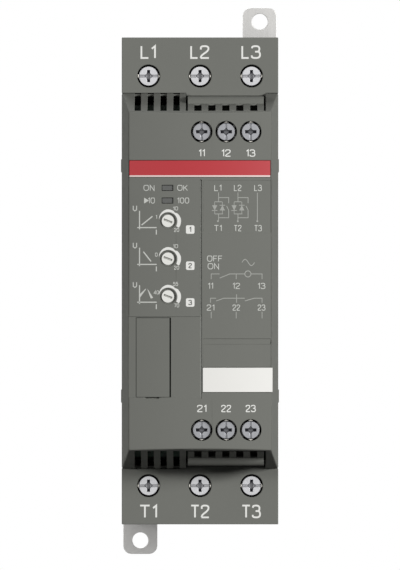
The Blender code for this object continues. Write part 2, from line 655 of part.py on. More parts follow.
def add_latch(bm, side, end):
    """One snap arm of the cover, with the nub that fills its window in the housing."""
    outer = HALF_WIDTH - WALL - SEAM
    inner = outer - LATCH_THICKNESS
    height = end * LATCH_HEIGHT
    half = LATCH_LENGTH / 2
    spans = sorted((side * inner, side * outer))
    foot = sorted((side * inner, side * (HALF_WIDTH - WALL / 2)))
    add_box(bm, foot, (COVER_BASE, COVER_BASE + 2 * WALL), (height - half, height + half))
    add_box(bm, spans, (COVER_BASE - LATCH_REACH, COVER_BASE + WALL / 2), (height - half, height + half))
    tip = HALF_WIDTH + LATCH_PROUD
    nub = [(side * (inner + SEAM), height - half + SEAM / 2), (side * tip, height - half + LATCH_TAPER),
           (side * tip, height + half - LATCH_TAPER), (side * (inner + SEAM), height + half - SEAM / 2)]
    add_prism(bm, "Y", nub, y_at(LATCH_NUB_DEPTHS[1]), y_at(LATCH_NUB_DEPTHS[0]))


def vent_xs():
    """Centre of each cooling slot in a steep wall of the cover."""
    return [VENT_FIRST_X + index * VENT_PITCH for index in range(VENT_COUNT)]


def make_main_housing(material):
    """The middle housing: open front and rear, with a shelf for each row of power terminals."""
    step, deep = HOUSING_STEP_HEIGHT, HALF_HEIGHT
    shelf = BLOCK_REAR - SEAM

    def outline(inset, front, rear):
        top, low = deep - inset, step - inset
        face = shelf - inset
        half = [(y_at(rear), top), (y_at(face), top), (y_at(face), low), (y_at(front), low)]
        return half + [(y, -z) for y, z in reversed(half)]

    bm = bmesh.new()
    add_prism(bm, "X", outline(0.0, TERMINAL_FACE, HOUSING_SEAM), -HALF_WIDTH, HALF_WIDTH)
    housing = add_object("main_housing", bm, material)

    bm = bmesh.new()
    add_prism(bm, "X", outline(WALL, TERMINAL_FACE + WALL, HOUSING_SEAM - WALL),
              WALL - HALF_WIDTH, HALF_WIDTH - WALL)
    combine(housing, bm, "DIFFERENCE")

    bm = bmesh.new()
    for side in (-1, 1):
        spans = sorted((side * (HALF_WIDTH - WALL / 2), side * (CONTROL_BOARD_WIDTH / 2 - LEDGE)))
        front = CONTROL_BOARD_FACE - BOARD - SEAM
        add_box(bm, spans, (front - LEDGE, front), (-CONTROL_LEDGE_HEIGHT / 2, CONTROL_LEDGE_HEIGHT / 2))
        spans = sorted((side * (HALF_WIDTH - WALL / 2), side * (POWER_BOARD_WIDTH / 2 - LEDGE)))
        front = POWER_BOARD_FACE - BOARD - SEAM
        reach = POWER_BOARD_HEIGHT / 2 - 2 * LEDGE
        add_box(bm, spans, (front - LEDGE, front), (-reach, reach))
    combine(housing, bm, "UNION")

    bm = bmesh.new()
    web = (POWER_HEIGHT - POWER.half_height - SEAM - POWER.strip, POWER_HEIGHT - POWER.half_height - SEAM)
    room = POWER.strip_clearance
    for end in (-1, 1):
        heights = sorted((end * (web[0] - room), end * (web[1] + room)))
        for x in POWER_XS:
            half = POWER.half_strip + room
            add_box(bm, (x - half, x + half), (shelf - 2 * WALL, shelf + WALL), heights)
        for side in (-1, 1):
            spans = sorted((side * (HALF_WIDTH - 2 * WALL), side * (HALF_WIDTH + WALL)))
            half = LATCH_LENGTH / 2 + SEAM
            low, high = LATCH_NUB_DEPTHS
            add_box(bm, spans, (low - SEAM, high + SEAM),
                    (end * LATCH_HEIGHT - half, end * LATCH_HEIGHT + half))
        notch = sorted((end * (step - 2 * WALL), end * (step - VENT_NOTCH_WALL)))
        for x in vent_xs():
            add_box(bm, (x - VENT_WIDTH / 2, x + VENT_WIDTH / 2),
                    (TERMINAL_FACE - VENT_NOTCH_DEPTH, TERMINAL_FACE + WALL), notch)
        lip = sorted((end * (BLOCK_INNER_HEIGHT - BLOCK_LIP - SEAM), end * (step + WALL)))
        add_box(bm, (MODULE_EDGES[0] - MODULE_GAP - SEAM, MODULE_EDGES[1] + MODULE_GAP + SEAM),
                (TERMINAL_FACE - BLOCK_LIP_DEPTH - SEAM, TERMINAL_FACE + WALL), lip)
    combine(housing, bm, "DIFFERENCE", crossing=True)


def make_rear_housing(material):
    """The rear housing around the heat sink, slotted above and below for the air."""
    front = HOUSING_SEAM - SEAM
    rear = SHEET + SEAM
    bm = bmesh.new()
    add_box(bm, (-HALF_WIDTH, HALF_WIDTH), (rear, front), (-HALF_HEIGHT, HALF_HEIGHT))
    housing = add_object("rear_housing", bm, material)

    bm = bmesh.new()
    inner = (HALF_WIDTH - WALL, HALF_HEIGHT - WALL)
    add_box(bm, (-inner[0], inner[0]), (rear - WALL, front + WALL), (-inner[1], inner[1]))
    combine(housing, bm, "DIFFERENCE")

    bm = bmesh.new()
    boss_front = fin_rear() - SEAM
    for side in (-1, 1):
        for end in (-1, 1):
            xs = sorted((side * (inner[0] - BOSS_SIZE[0]), side * (inner[0] + WALL / 2)))
            heights = sorted((end * (inner[1] - BOSS_SIZE[1]), end * (inner[1] + WALL / 2)))
            add_box(bm, xs, (rear, boss_front), heights)
    combine(housing, bm, "UNION")

    bm = bmesh.new()
    notch = PLATE_CHANNEL + SHEET + SEAM
    add_box(bm, (-HALF_WIDTH - WALL, HALF_WIDTH + WALL),
            (rear - WALL, RAIL_SEAT + SHEET + SEAM), (-notch, notch))
    for x, half in fin_gaps():
        for end in (-1, 1):
            heights = sorted((end * (HALF_HEIGHT - 2 * WALL), end * (HALF_HEIGHT + WALL)))
            add_box(bm, (x - half + SLOT_RIB, x + half - SLOT_RIB),
                    (fin_rear() + SLOT_LAND, SINK_FACE - SINK_BASE - SLOT_RIB), heights)
    add_box(bm, (-TOOL_SLOT_WIDTH / 2, TOOL_SLOT_WIDTH / 2), TOOL_SLOT_DEPTHS,
            (-HALF_HEIGHT - WALL, 2 * WALL - HALF_HEIGHT))
    combine(housing, bm, "DIFFERENCE")


def fin_rear():
    """Depth of the fins' free edges, just clear of the rail channel."""
    return RAIL_SEAT + SHEET + FIN_CLEARANCE


def fin_gaps():
    """Centre and half width of each air gap between two fins."""
    pitch = (SINK_WIDTH - FIN_THICKNESS) / (FIN_COUNT - 1)
    first = -(SINK_WIDTH - FIN_THICKNESS) / 2
    return [(first + pitch * (index + 0.5), (pitch - FIN_THICKNESS) / 2) for index in range(FIN_COUNT - 1)]


def make_heat_sink(material):
    """An extruded heat sink: a base with upright fins that point to the wall."""
    half = SINK_WIDTH / 2
    root = y_at(SINK_FACE - SINK_BASE)
    tips = y_at(fin_rear())
    outline = [(-half, y_at(SINK_FACE)), (-half, tips)]
    for x, gap in fin_gaps():
        outline += [(x - gap, tips), (x - gap, root), (x + gap, root), (x + gap, tips)]
    outline += [(half, tips), (half, y_at(SINK_FACE))]
    bm = bmesh.new()
    add_prism(bm, "Z", outline, -SINK_HEIGHT / 2, SINK_HEIGHT / 2)
    add_object("heat_sink", bm, material)


def make_mounting_plate(material):
    """The pressed plate: a rail channel across it, two hooks and two tabs with screw holes."""
    near, far = PLATE_CHANNEL, PLATE_CHANNEL + SHEET
    wall_side = [(y_at(0), HALF_HEIGHT), (y_at(0), near), (y_at(RAIL_SEAT), near)]
    front_side = [(y_at(RAIL_SEAT + SHEET), far), (y_at(SHEET), far), (y_at(SHEET), HALF_HEIGHT)]
    outline = wall_side + [(y, -z) for y, z in reversed(wall_side)]
    outline += [(y, -z) for y, z in reversed(front_side)] + front_side
    bm = bmesh.new()
    add_prism(bm, "X", outline, -HALF_WIDTH, HALF_WIDTH)
    plate = add_object("mounting_plate", bm, material)

    bm = bmesh.new()
    for end in (-1, 1):
        us = sorted((end * HALF_WIDTH, end * (HALF_WIDTH - TAB_WIDTH)))
        vs = sorted((end * (HALF_HEIGHT - TAB_ROUND * 2), end * (HALF_HEIGHT + TAB_HEIGHT)))
        add_prism(bm, "Y", rounded_box_outline(us, vs, TAB_ROUND, 4), y_at(SHEET), y_at(0))
    hook = hook_depths()
    for side in (-1, 1):
        add_box(bm, (side * HOOK_X - HOOK_WIDTH / 2, side * HOOK_X + HOOK_WIDTH / 2), hook,
                (RAIL_HEIGHT / 2 - HOOK_BITE, near + SHEET / 2))
    clip = clip_depths()
    guide = CLIP_WIDTH / 2 + SEAM
    for heights in GUIDE_HEIGHTS:
        for side in (-1, 1):
            wall_xs = sorted((side * guide, side * (guide + GUIDE_WALL)))
            lip_xs = sorted((side * (guide - GUIDE_LIP), side * (guide + GUIDE_WALL)))
            add_box(bm, wall_xs, (SHEET / 2, clip[1] + SEAM + SHEET / 2), heights)
            add_box(bm, lip_xs, (clip[1] + SEAM, clip[1] + SEAM + SHEET), heights)
    add_box(bm, (-SPRING_STOP_WIDTH / 2, SPRING_STOP_WIDTH / 2), (SHEET / 2, clip[1] + SEAM + SHEET / 2),
            (SPRING_STOP_TOP - SHEET, SPRING_STOP_TOP))
    combine(plate, bm, "UNION", crossing=True)

    bm = bmesh.new()
    for end in (-1, 1):
        add_prism(bm, "Y", circle(end * TAB_HOLE_X, end * TAB_HOLE_HEIGHT, TAB_HOLE_RADIUS, HOLE_SIDES),
                  y_at(SHEET + WALL), y_at(-WALL))
    add_box(bm, (-guide, guide), (clip[0] - SEAM, clip[1] + SEAM), (-far - SEAM, -near + SEAM))
    combine(plate, bm, "DIFFERENCE")


def hook_depths():
    """Depths of the two fixed hooks, behind the rail's flange."""
    front = RAIL_SEAT - RAIL_FLANGE - HOOK_GAP
    return front - SHEET, front


def clip_depths():
    """Depths of the sliding clip, behind the rail's flange."""
    front = RAIL_SEAT - RAIL_FLANGE - CLIP_GAP
    return front - CLIP_THICKNESS, front


def make_rail_clip(material):
    """The sliding clip: a bevelled nose, a window for its spring and an eye for a screwdriver."""
    rear, front = clip_depths()
    nose = CLIP_BITE - RAIL_HEIGHT / 2
    outline = [(y_at(rear), CLIP_FOOT_HEIGHT), (y_at(front), CLIP_FOOT_HEIGHT), (y_at(front), nose),
               (y_at(front - CLIP_THICKNESS / 4), nose), (y_at(rear), nose - CLIP_CHAMFER)]
    bm = bmesh.new()
    add_prism(bm, "X", outline, -CLIP_WIDTH / 2, CLIP_WIDTH / 2)
    clip = add_object("rail_clip", bm, material)
    bm = bmesh.new()
    for width, heights in ((CLIP_WINDOW_WIDTH, CLIP_WINDOW_HEIGHTS), (CLIP_EYE_WIDTH, CLIP_EYE_HEIGHTS)):
        add_box(bm, (-width / 2, width / 2), (rear - WALL, front + WALL), heights)
    combine(clip, bm, "DIFFERENCE")


def make_clip_spring(material):
    """The clip's compression spring, standing on the plate's stop."""
    rear, front = clip_depths()
    y = y_at((rear + front) / 2)
    low = SPRING_STOP_TOP + SEAM + SPRING_WIRE_RADIUS
    high = CLIP_WINDOW_HEIGHTS[1] - SEAM - SPRING_WIRE_RADIUS
    count = SPRING_TURNS * SPRING_STEPS
    curve = bpy.data.curves.new("clip_spring", "CURVE")
    curve.dimensions = "3D"
    curve.bevel_depth = SPRING_WIRE_RADIUS
    curve.bevel_resolution = 1
    curve.use_fill_caps = True
    spline = curve.splines.new("POLY")
    spline.points.add(count)
    for index, point in enumerate(spline.points):
        turn = math.tau * index / SPRING_STEPS
        share = index / count
        point.co = (SPRING_RADIUS * math.cos(turn), y + SPRING_RADIUS * math.sin(turn),
                    low + (high - low) * share, 1.0)
    curve.materials.append(material)
    spring = bpy.data.objects.new("clip_spring", curve)
    bpy.context.collection.objects.link(spring)


def make_terminal_block(name, sign, material):
    """A row of three power terminals: one moulding with open chambers at its rear and inner side."""
    bm = bmesh.new()
    heights = sorted((sign * BLOCK_INNER_HEIGHT, sign * HALF_HEIGHT))
    add_box(bm, (-HALF_WIDTH, HALF_WIDTH), (BLOCK_REAR, TERMINAL_FACE), heights)
    block = add_object(name, bm, material)

    bm = bmesh.new()
    lip = sorted((sign * (BLOCK_INNER_HEIGHT - BLOCK_LIP), sign * (BLOCK_INNER_HEIGHT + WALL)))
    add_box(bm, (MODULE_EDGES[0] - MODULE_GAP, MODULE_EDGES[1] + MODULE_GAP),
            (TERMINAL_FACE - BLOCK_LIP_DEPTH, TERMINAL_FACE), lip)
    combine(block, bm, "UNION")

    bm = bmesh.new()
    chamber = sorted((sign * (BLOCK_INNER_HEIGHT - WALL), sign * (HALF_HEIGHT - WALL)))
    for x in POWER_XS:
        half = CHAMBER_WIDTH / 2
        add_box(bm, (x - half, x + half), (BLOCK_REAR - WALL, TERMINAL_FACE - BLOCK_FRONT_WALL), chamber)
    combine(block, bm, "DIFFERENCE")

    bm = bmesh.new()
    rear, front = POWER.wire_depths
    middle = y_at((rear + front) / 2)
    through = sorted((sign * (HALF_HEIGHT - 2 * WALL), sign * (HALF_HEIGHT + WALL)))
    for x in POWER_XS:
        add_prism(bm, "Y", circle(x, sign * POWER_HEIGHT, POWER.hole_radius, HOLE_SIDES),
                  y_at(TERMINAL_FACE + WALL), y_at(TERMINAL_FACE - 2 * WALL))
        outline = rounded_box_outline((x - ENTRY_WIDTH / 2, x + ENTRY_WIDTH / 2),
                                      (middle - ENTRY_LENGTH / 2, middle + ENTRY_LENGTH / 2), ENTRY_ROUND)
        add_prism(bm, "Z", outline, through[0], through[1])
    combine(block, bm, "DIFFERENCE")
    smooth(block)


def make_control_module(name, sign, material):
    """A control terminal insert: three chambers under a rounded nose with a slotted face."""
    slope = (COVER_BASE_HEIGHT - PANEL_HEIGHT) / 2 / (BODY_DEPTH - TERMINAL_FACE)
    nose_face = BODY_DEPTH - (NOSE_TOP - NOSE_ROUND - PANEL_HEIGHT / 2) / slope
    centre = (y_at(nose_face) + NOSE_ROUND, NOSE_TOP - NOSE_ROUND)
    nose = arc(centre[0], centre[1], NOSE_ROUND, 180, 90, NOSE_STEPS)
    lip = y_at(MODULE_REAR + MODULE_LIP)
    outline = [(y_at(MODULE_REAR), MODULE_FOOT_HEIGHT), (y_at(MODULE_FACE), MODULE_FOOT_HEIGHT),
               (y_at(MODULE_FACE), cover_half_height(MODULE_FACE)), *nose, (lip, NOSE_TOP),
               (lip, MODULE_LIP_HEIGHT), (y_at(MODULE_REAR), MODULE_LIP_HEIGHT)]
    bm = bmesh.new()
    add_prism(bm, "X", [(y, sign * z) for y, z in outline], *MODULE_EDGES)
    module = add_object(name, bm, material)

    bm = bmesh.new()
    chamber = sorted((sign * (MODULE_FOOT_HEIGHT - WALL), sign * MODULE_CHAMBER_TOP))
    for x in CONTROL_XS:
        half = MODULE_CHAMBER_WIDTH / 2
        add_box(bm, (x - half, x + half), (MODULE_REAR - WALL, MODULE_FACE - MODULE_FRONT_WALL), chamber)
    combine(module, bm, "DIFFERENCE")

    bm = bmesh.new()
    rear, front = CONTROL.wire_depths
    middle = y_at((rear + front) / 2)
    through = sorted((sign * (MODULE_CHAMBER_TOP - WALL), sign * (NOSE_TOP + WALL)))
    for x in CONTROL_XS:
        add_prism(bm, "Y", circle(x, sign * CONTROL_HEIGHT, CONTROL.hole_radius, HOLE_SIDES),
                  y_at(MODULE_FACE + WALL), y_at(MODULE_FACE - 2 * WALL))
        add_prism(bm, "Z", circle(x, middle, WIRE_HOLE_RADIUS, PIN_SIDES), through[0], through[1])
    first = (MODULE_EDGES[0] + MODULE_EDGES[1]) / 2 - COMB_PITCH * (COMB_COUNT - 1) / 2
    comb = sorted((sign * COMB_FLOOR, sign * (NOSE_TOP + WALL)))
    for index in range(COMB_COUNT):
        x = first + index * COMB_PITCH
        xs = (x - COMB_WIDTH / 2, x + COMB_WIDTH / 2)
        add_box(bm, xs, (nose_face + SEAM, MODULE_FACE + WALL), comb)
        add_box(bm, xs, (nose_face - COMB_TUNNEL, MODULE_FACE),
                sorted((sign * COMB_FLOOR, sign * COMB_ROOF)))
    combine(module, bm, "DIFFERENCE", crossing=True)
    smooth(module)


def make_screw_mesh(name, clamp, material, upright):
    """A terminal screw: its axis is Y, its origin the middle of the head's face.

    The recess has two long wings, a small diamond and a slot across them.
    """
    bm = bmesh.new()
    add_prism(bm, "Y", circle(0, 0, clamp.head_radius, HOLE_SIDES), 0.0, clamp.head_length)
    blank = add_object(name, bm, material)
    bm = bmesh.new()
    shank = circle(0, 0, clamp.shank_radius, PIN_SIDES)
    add_prism(bm, "Y", shank, clamp.head_length / 2, clamp.head_face - clamp.tip)
    combine(blank, bm, "UNION")

    def turned(points):
        return points if upright else [(v, u) for u, v in points]

    def cross(half_u, half_v):
        return turned([(-half_u, -half_v), (half_u, -half_v), (half_u, half_v), (-half_u, half_v)])

    bm = bmesh.new()
    add_prism(bm, "Y", cross(clamp.wing_width / 2, clamp.wing_length / 2), -WALL, clamp.recess_depth)
    combine(blank, bm, "DIFFERENCE")
    bm = bmesh.new()
    half = clamp.diamond / 2
    add_prism(bm, "Y", [(half, 0), (0, half), (-half, 0), (0, -half)], -WALL, clamp.diamond_depth)
    combine(blank, bm, "DIFFERENCE")
    bm = bmesh.new()
    add_prism(bm, "Y", cross(clamp.head_radius + WALL, clamp.slot_width / 2), -WALL, clamp.slot_depth)
    combine(blank, bm, "DIFFERENCE")
    mesh = finished_mesh(blank)
    mesh.shade_smooth()
    mesh.set_sharp_from_angle(angle=math.radians(35))
    return mesh


def make_cage_mesh(name, clamp, material):
    """A clamping cage: a threaded bar in front, two sides and the bar that lifts the wire."""
    outer = clamp.window / 2 + clamp.side
    bm = bmesh.new()
    ends = (-clamp.half_height, clamp.half_height)
    outline = [(-outer, ends[0]), (outer, ends[0]), (outer, ends[1]), (-outer, ends[1])]
    add_prism(bm, "Y", outline, 0.0, clamp.cage_length)
    blank = add_object(name, bm, material)
    bm = bmesh.new()
    half = clamp.window / 2
    window = [(-half, clamp.nut), (half, clamp.nut),
              (half, clamp.cage_length - clamp.bar), (-half, clamp.cage_length - clamp.bar)]
    add_prism(bm, "Z", window, ends[0] - WALL, ends[1] + WALL)
    combine(blank, bm, "DIFFERENCE")
    bm = bmesh.new()
    radius = clamp.shank_radius + clamp.shank_clearance
    add_prism(bm, "Y", circle(0, 0, radius, PIN_SIDES), -WALL, clamp.nut + WALL / 2)
    combine(blank, bm, "DIFFERENCE")
    return finished_mesh(blank)


def make_contact_mesh(name, clamp, board_face, material, sign, ears_upright):
    """A bent contact strip: flange behind the screw head, tongue in the cage and web to the board.

    Two pointed ears of the flange stand beside the screw head.
    """
    web_top = -clamp.half_height - SEAM
    web_foot = web_top - clamp.strip
    start = 0.0
    flange = clamp.strip
    tongue = clamp.flange_face - clamp.tongue_face
    end = clamp.flange_face - board_face - SEAM
    top = clamp.hole_radius - clamp.ear_tip_gap + SEAM / 2
    outline = [(start, web_foot), (end, web_foot), (end, web_top), (tongue + clamp.strip, web_top),
               (tongue + clamp.strip, clamp.half_height), (tongue, clamp.half_height), (tongue, web_top),
               (flange, web_top), (flange, top), (start, top)]
    bm = bmesh.new()
    add_prism(bm, "X", [(y, sign * z) for y, z in outline], -clamp.half_strip, clamp.half_strip)
    blank = add_object(name, bm, material)

    bm = bmesh.new()
    inner = clamp.head_radius + clamp.ear_gap
    tip = clamp.hole_radius - clamp.ear_tip_gap
    rise = clamp.head_face - clamp.ear_recess - clamp.flange_face
    for side in (-1, 1):
        points = [(side * inner, -clamp.ear_half), (side * tip, 0.0), (side * inner, clamp.ear_half)]
        if ears_upright:
            points = [(v, u) for u, v in points]
        add_prism(bm, "Y", points, -rise, clamp.strip / 2)
    combine(blank, bm, "UNION")

    bm = bmesh.new()
    radius = clamp.shank_radius + clamp.shank_clearance
    add_prism(bm, "Y", circle(0, 0, radius, PIN_SIDES), -WALL, clamp.strip + SEAM)
    combine(blank, bm, "DIFFERENCE")
    return finished_mesh(blank)


def make_terminals(kind, clamp, xs, height, board_face, materials, upright):
    """The screws, cages and contact strips of the upper and the lower row of one kind."""
    screw = make_screw_mesh(f"{kind}_screw", clamp, materials["screw"], upright)
    cage = make_cage_mesh(f"{kind}_cage", clamp, materials["cage"])
    number = 0
    for sign in (1, -1):
        contact = make_contact_mesh(f"{kind}_contact", clamp, board_face, materials["contact"], sign,
                                    not upright)
        for x in xs:
            number += 1
            place(f"{kind}_screw_{number}", screw, x, clamp.head_face, sign * height)
            place(f"{kind}_cage_{number}", cage, x, clamp.cage_face, sign * height)
            place(f"{kind}_contact_{number}", contact, x, clamp.flange_face, sign * height)


def make_dials(material):
    """The setting dials, each with the long spindle that reaches its potentiometer."""
    face = panel_depth(DIAL_X) - DIAL_RECESS
    length = face - (CONTROL_BOARD_FACE + POT_DEPTH + SEAM)
    bm = bmesh.new()
    add_prism(bm, "Y", circle(0, 0, DIAL_RADIUS, HOLE_SIDES), 0.0, DIAL_HEAD)
    blank = add_object("dial", bm, material)
    bm = bmesh.new()
    add_prism(bm, "Y", circle(0, 0, DIAL_COLLAR_RADIUS, HOLE_SIDES), DIAL_COLLAR_DEPTH, DIAL_HEAD - SEAM)
    add_prism(bm, "Y", circle(0, 0, SPINDLE_RADIUS, PIN_SIDES), DIAL_HEAD / 2, length)
    combine(blank, bm, "UNION", crossing=True)
    bm = bmesh.new()
    turn = math.radians(DIAL_SLOT_TURN)
    along = Vector((math.cos(turn), math.sin(turn))) * DIAL_SLOT / 2
    across = Vector((-math.sin(turn), math.cos(turn))) * DIAL_SLOT_WIDTH / 2
    outline = [along + across, across - along, -along - across, along - across]
    add_prism(bm, "Y", [tuple(point) for point in outline], -WALL, DIAL_SLOT_DEPTH)
    combine(blank, bm, "DIFFERENCE")
    mesh = finished_mesh(blank)
    mesh.shade_smooth()
    mesh.set_sharp_from_angle(angle=math.radians(35))
    for index in range(DIAL_COUNT):
        place(f"setting_dial_{index + 1}", mesh, DIAL_X, face, DIAL_TOP_HEIGHT - index * DIAL_PITCH)


def make_light_guides(material):
    """Two clear bars that carry the signal lights from the board to their windows."""
    face = panel_depth(LIGHT_X) - LIGHT_RECESS
    half_width = LIGHT_WIDTH / 2 - LIGHT_CLEARANCE
    half_height = LIGHT_HEIGHT / 2 - LIGHT_CLEARANCE
    for name, height in zip(("ready_light_guide", "run_light_guide"), LIGHT_HEIGHTS):
        bm = bmesh.new()
        add_box(bm, (LIGHT_X - half_width, LIGHT_X + half_width),
                (CONTROL_BOARD_FACE + LED_DEPTH + SEAM, face), (height - half_height, height + half_height))
        add_object(name, bm, material)


def make_control_board(material):
    """The control board with its potentiometers, signal lights and the plug behind the port."""
    bm = bmesh.new()
    half = (CONTROL_BOARD_WIDTH / 2, CONTROL_BOARD_HEIGHT / 2)
    add_box(bm, (-half[0], half[0]), (CONTROL_BOARD_FACE - BOARD, CONTROL_BOARD_FACE), (-half[1], half[1]))
    board = add_object("control_board", bm, material)
    bm = bmesh.new()
    seat = CONTROL_BOARD_FACE - BOARD / 2
    for index in range(DIAL_COUNT):
        height = DIAL_TOP_HEIGHT - index * DIAL_PITCH
        add_box(bm, (DIAL_X - POT_SIZE / 2, DIAL_X + POT_SIZE / 2), (seat, CONTROL_BOARD_FACE + POT_DEPTH),
                (height - POT_SIZE / 2, height + POT_SIZE / 2))
    for height in LIGHT_HEIGHTS:
        add_box(bm, (LIGHT_X - LIGHT_WIDTH / 2, LIGHT_X + LIGHT_WIDTH / 2),
                (seat, CONTROL_BOARD_FACE + LED_DEPTH),
                (height - LIGHT_HEIGHT / 2, height + LIGHT_HEIGHT / 2))
    x = (PORT_EDGES[0] + PORT_EDGES[1]) / 2
    z = (PORT_HEIGHTS[0] + PORT_HEIGHTS[1]) / 2
    add_box(bm, (x - PLUG_SIZE[0] / 2, x + PLUG_SIZE[0] / 2), (seat, CONTROL_BOARD_FACE + PLUG_DEPTH),
            (z - PLUG_SIZE[1] / 2, z + PLUG_SIZE[1] / 2))
    combine(board, bm, "UNION")


def make_power_board(material):
    """The power board with the two bypass relays that carry the motor current after the start."""
    bm = bmesh.new()
    half = (POWER_BOARD_WIDTH / 2, POWER_BOARD_HEIGHT / 2)
    add_box(bm, (-half[0], half[0]), (POWER_BOARD_FACE - BOARD, POWER_BOARD_FACE), (-half[1], half[1]))
    board = add_object("power_board", bm, material)
    bm = bmesh.new()
    seat = POWER_BOARD_FACE - BOARD / 2
    for side in (-1, 1):
        x = side * RELAY_PITCH_X / 2
        add_box(bm, (x - RELAY_SIZE[0] / 2, x + RELAY_SIZE[0] / 2), (seat, POWER_BOARD_FACE + RELAY_DEPTH),
                (-RELAY_SIZE[1] / 2, RELAY_SIZE[1] / 2))
    combine(board, bm, "UNION")


def make_thyristor_modules(material):
    """Two stepped thyristor modules that stand on the heat sink's base."""
    rear = SINK_FACE + SEAM
    top = rear + THYRISTOR_DEPTH
    outer = THYRISTOR_HEIGHT / 2
    inner = outer - THYRISTOR_SHOULDER
    shoulder = rear + THYRISTOR_DEPTH / 2
    for name, sign in (("thyristor_module_1", 1), ("thyristor_module_2", -1)):
        centre = sign * THYRISTOR_CENTRE
        half = [(y_at(rear), outer), (y_at(shoulder), outer), (y_at(shoulder), inner), (y_at(top), inner)]
        outline = [(y, centre + z) for y, z in half] + [(y, centre - z) for y, z in reversed(half)]
        bm = bmesh.new()
        add_prism(bm, "X", outline, -THYRISTOR_WIDTH / 2, THYRISTOR_WIDTH / 2)
        add_object(name, bm, material)


def make_strip(material):
    """The coloured strip, flush in its pocket."""
    bm = bmesh.new()
    add_crowned_slab(bm, STRIP_EDGES, STRIP_HEIGHTS, (0.0, STRIP_THICKNESS), 8)
    add_object("front_strip", bm, material)


def make_marker_plate(material):
    """The blank marker plate, a little proud of its pocket."""
    bm = bmesh.new()
    add_crowned_slab(bm, MARKER_EDGES, MARKER_HEIGHTS, (-MARKER_PROUD, MARKER_THICKNESS - MARKER_PROUD))
    add_object("marker_plate", bm, material)


def make_port_cover(material):
    """The blanking cover of the port: a crowned plate with a skirt behind it."""
    bm = bmesh.new()
    below = (RELIEF_DEPTH, RELIEF_DEPTH + PORT_COVER_THICKNESS)
    add_crowned_slab(bm, PORT_EDGES, PORT_HEIGHTS, below, 4)
    cover = add_object("port_cover", bm, material)
    low, high = PORT_EDGES[0] + PORT_SKIRT_INSET, PORT_EDGES[1] - PORT_SKIRT_INSET
    foot, top = PORT_HEIGHTS[0] + PORT_SKIRT_INSET, PORT_HEIGHTS[1] - PORT_SKIRT_INSET
    front = panel_depth(low) - RELIEF_DEPTH - PORT_COVER_THICKNESS / 2
    bm = bmesh.new()
    add_box(bm, (low, high), (front - PORT_SKIRT_DEPTH, front), (foot, top))
    combine(cover, bm, "UNION")
    bm = bmesh.new()
    add_box(bm, (low + PORT_SKIRT, high - PORT_SKIRT),
            (front - PORT_SKIRT_DEPTH - WALL, panel_depth(low) - below[1]),
            (foot + PORT_SKIRT, top - PORT_SKIRT))
    combine(cover, bm, "DIFFERENCE")


def main():
    """Clear the scene and build every piece."""
    for item in list(bpy.data.objects):
        bpy.data.objects.remove(item, do_unlink=True)

    housing = make_material("grey_housing", (0.175, 0.178, 0.158), 0.45)
    rear = make_material("rear_grey", (0.12, 0.122, 0.11), 0.5)
    aluminium = make_material("aluminium", (0.72, 0.73, 0.74), 0.35, 1.0)
    zinc = make_material("zinc_plate", (0.76, 0.76, 0.74), 0.32, 1.0)
    steel = make_material("spring_steel", (0.55, 0.55, 0.56), 0.3, 1.0)
    metals = {
        "screw": make_material("nickel_screw", (0.8, 0.8, 0.81), 0.25, 1.0),
        "cage": make_material("cage_steel", (0.62, 0.62, 0.6), 0.35, 1.0),
        "contact": make_material("tinned_copper", (0.82, 0.8, 0.76), 0.3, 1.0),
    }
    white = make_material("white_dial", (0.8, 0.8, 0.76), 0.4)
    red = make_material("red_strip", (0.41, 0.028, 0.036), 0.35)
    smoke = make_material("smoke_window", (0.02, 0.02, 0.02), 0.2)
    green = make_material("board_green", (0.02, 0.12, 0.05), 0.4)
    black = make_material("module_black", (0.03, 0.03, 0.03), 0.45)

    make_rear_housing(rear)
    make_main_housing(housing)
    make_front_cover(housing)
    make_terminal_block("line_terminal_block", 1, housing)
    make_terminal_block("motor_terminal_block", -1, housing)
    make_control_module("upper_control_module", 1, housing)
    make_control_module("lower_control_module", -1, housing)
    make_heat_sink(aluminium)
    make_mounting_plate(zinc)
    make_rail_clip(steel)
    make_clip_spring(steel)
    make_terminals("power", POWER, POWER_XS, POWER_HEIGHT, POWER_BOARD_FACE, metals, True)
    make_terminals("control", CONTROL, CONTROL_XS, CONTROL_HEIGHT, CONTROL_BOARD_FACE, metals, False)
    make_dials(white)
    make_light_guides(smoke)
    make_strip(red)
    make_marker_plate(white)
    make_port_cover(housing)
    make_control_board(green)
    make_power_board(green)
    make_thyristor_modules(black)


main()
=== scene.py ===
"""Dresses a narrow three-phase motor soft starter and sets it before a plain white backdrop.

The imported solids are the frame. Each visible solid gets a finished copy with eased edges and a
procedural finish, and the print on the front is laid on the crowned panel as thin ink.
Lengths are metres, +X is right, +Z up, and the front faces -Y.
"""

import functools
import itertools
import json
import logging
import math
from abc import ABC, abstractmethod
from dataclasses import dataclass, field
from enum import Enum
from typing import Callable, Mapping, Sequence

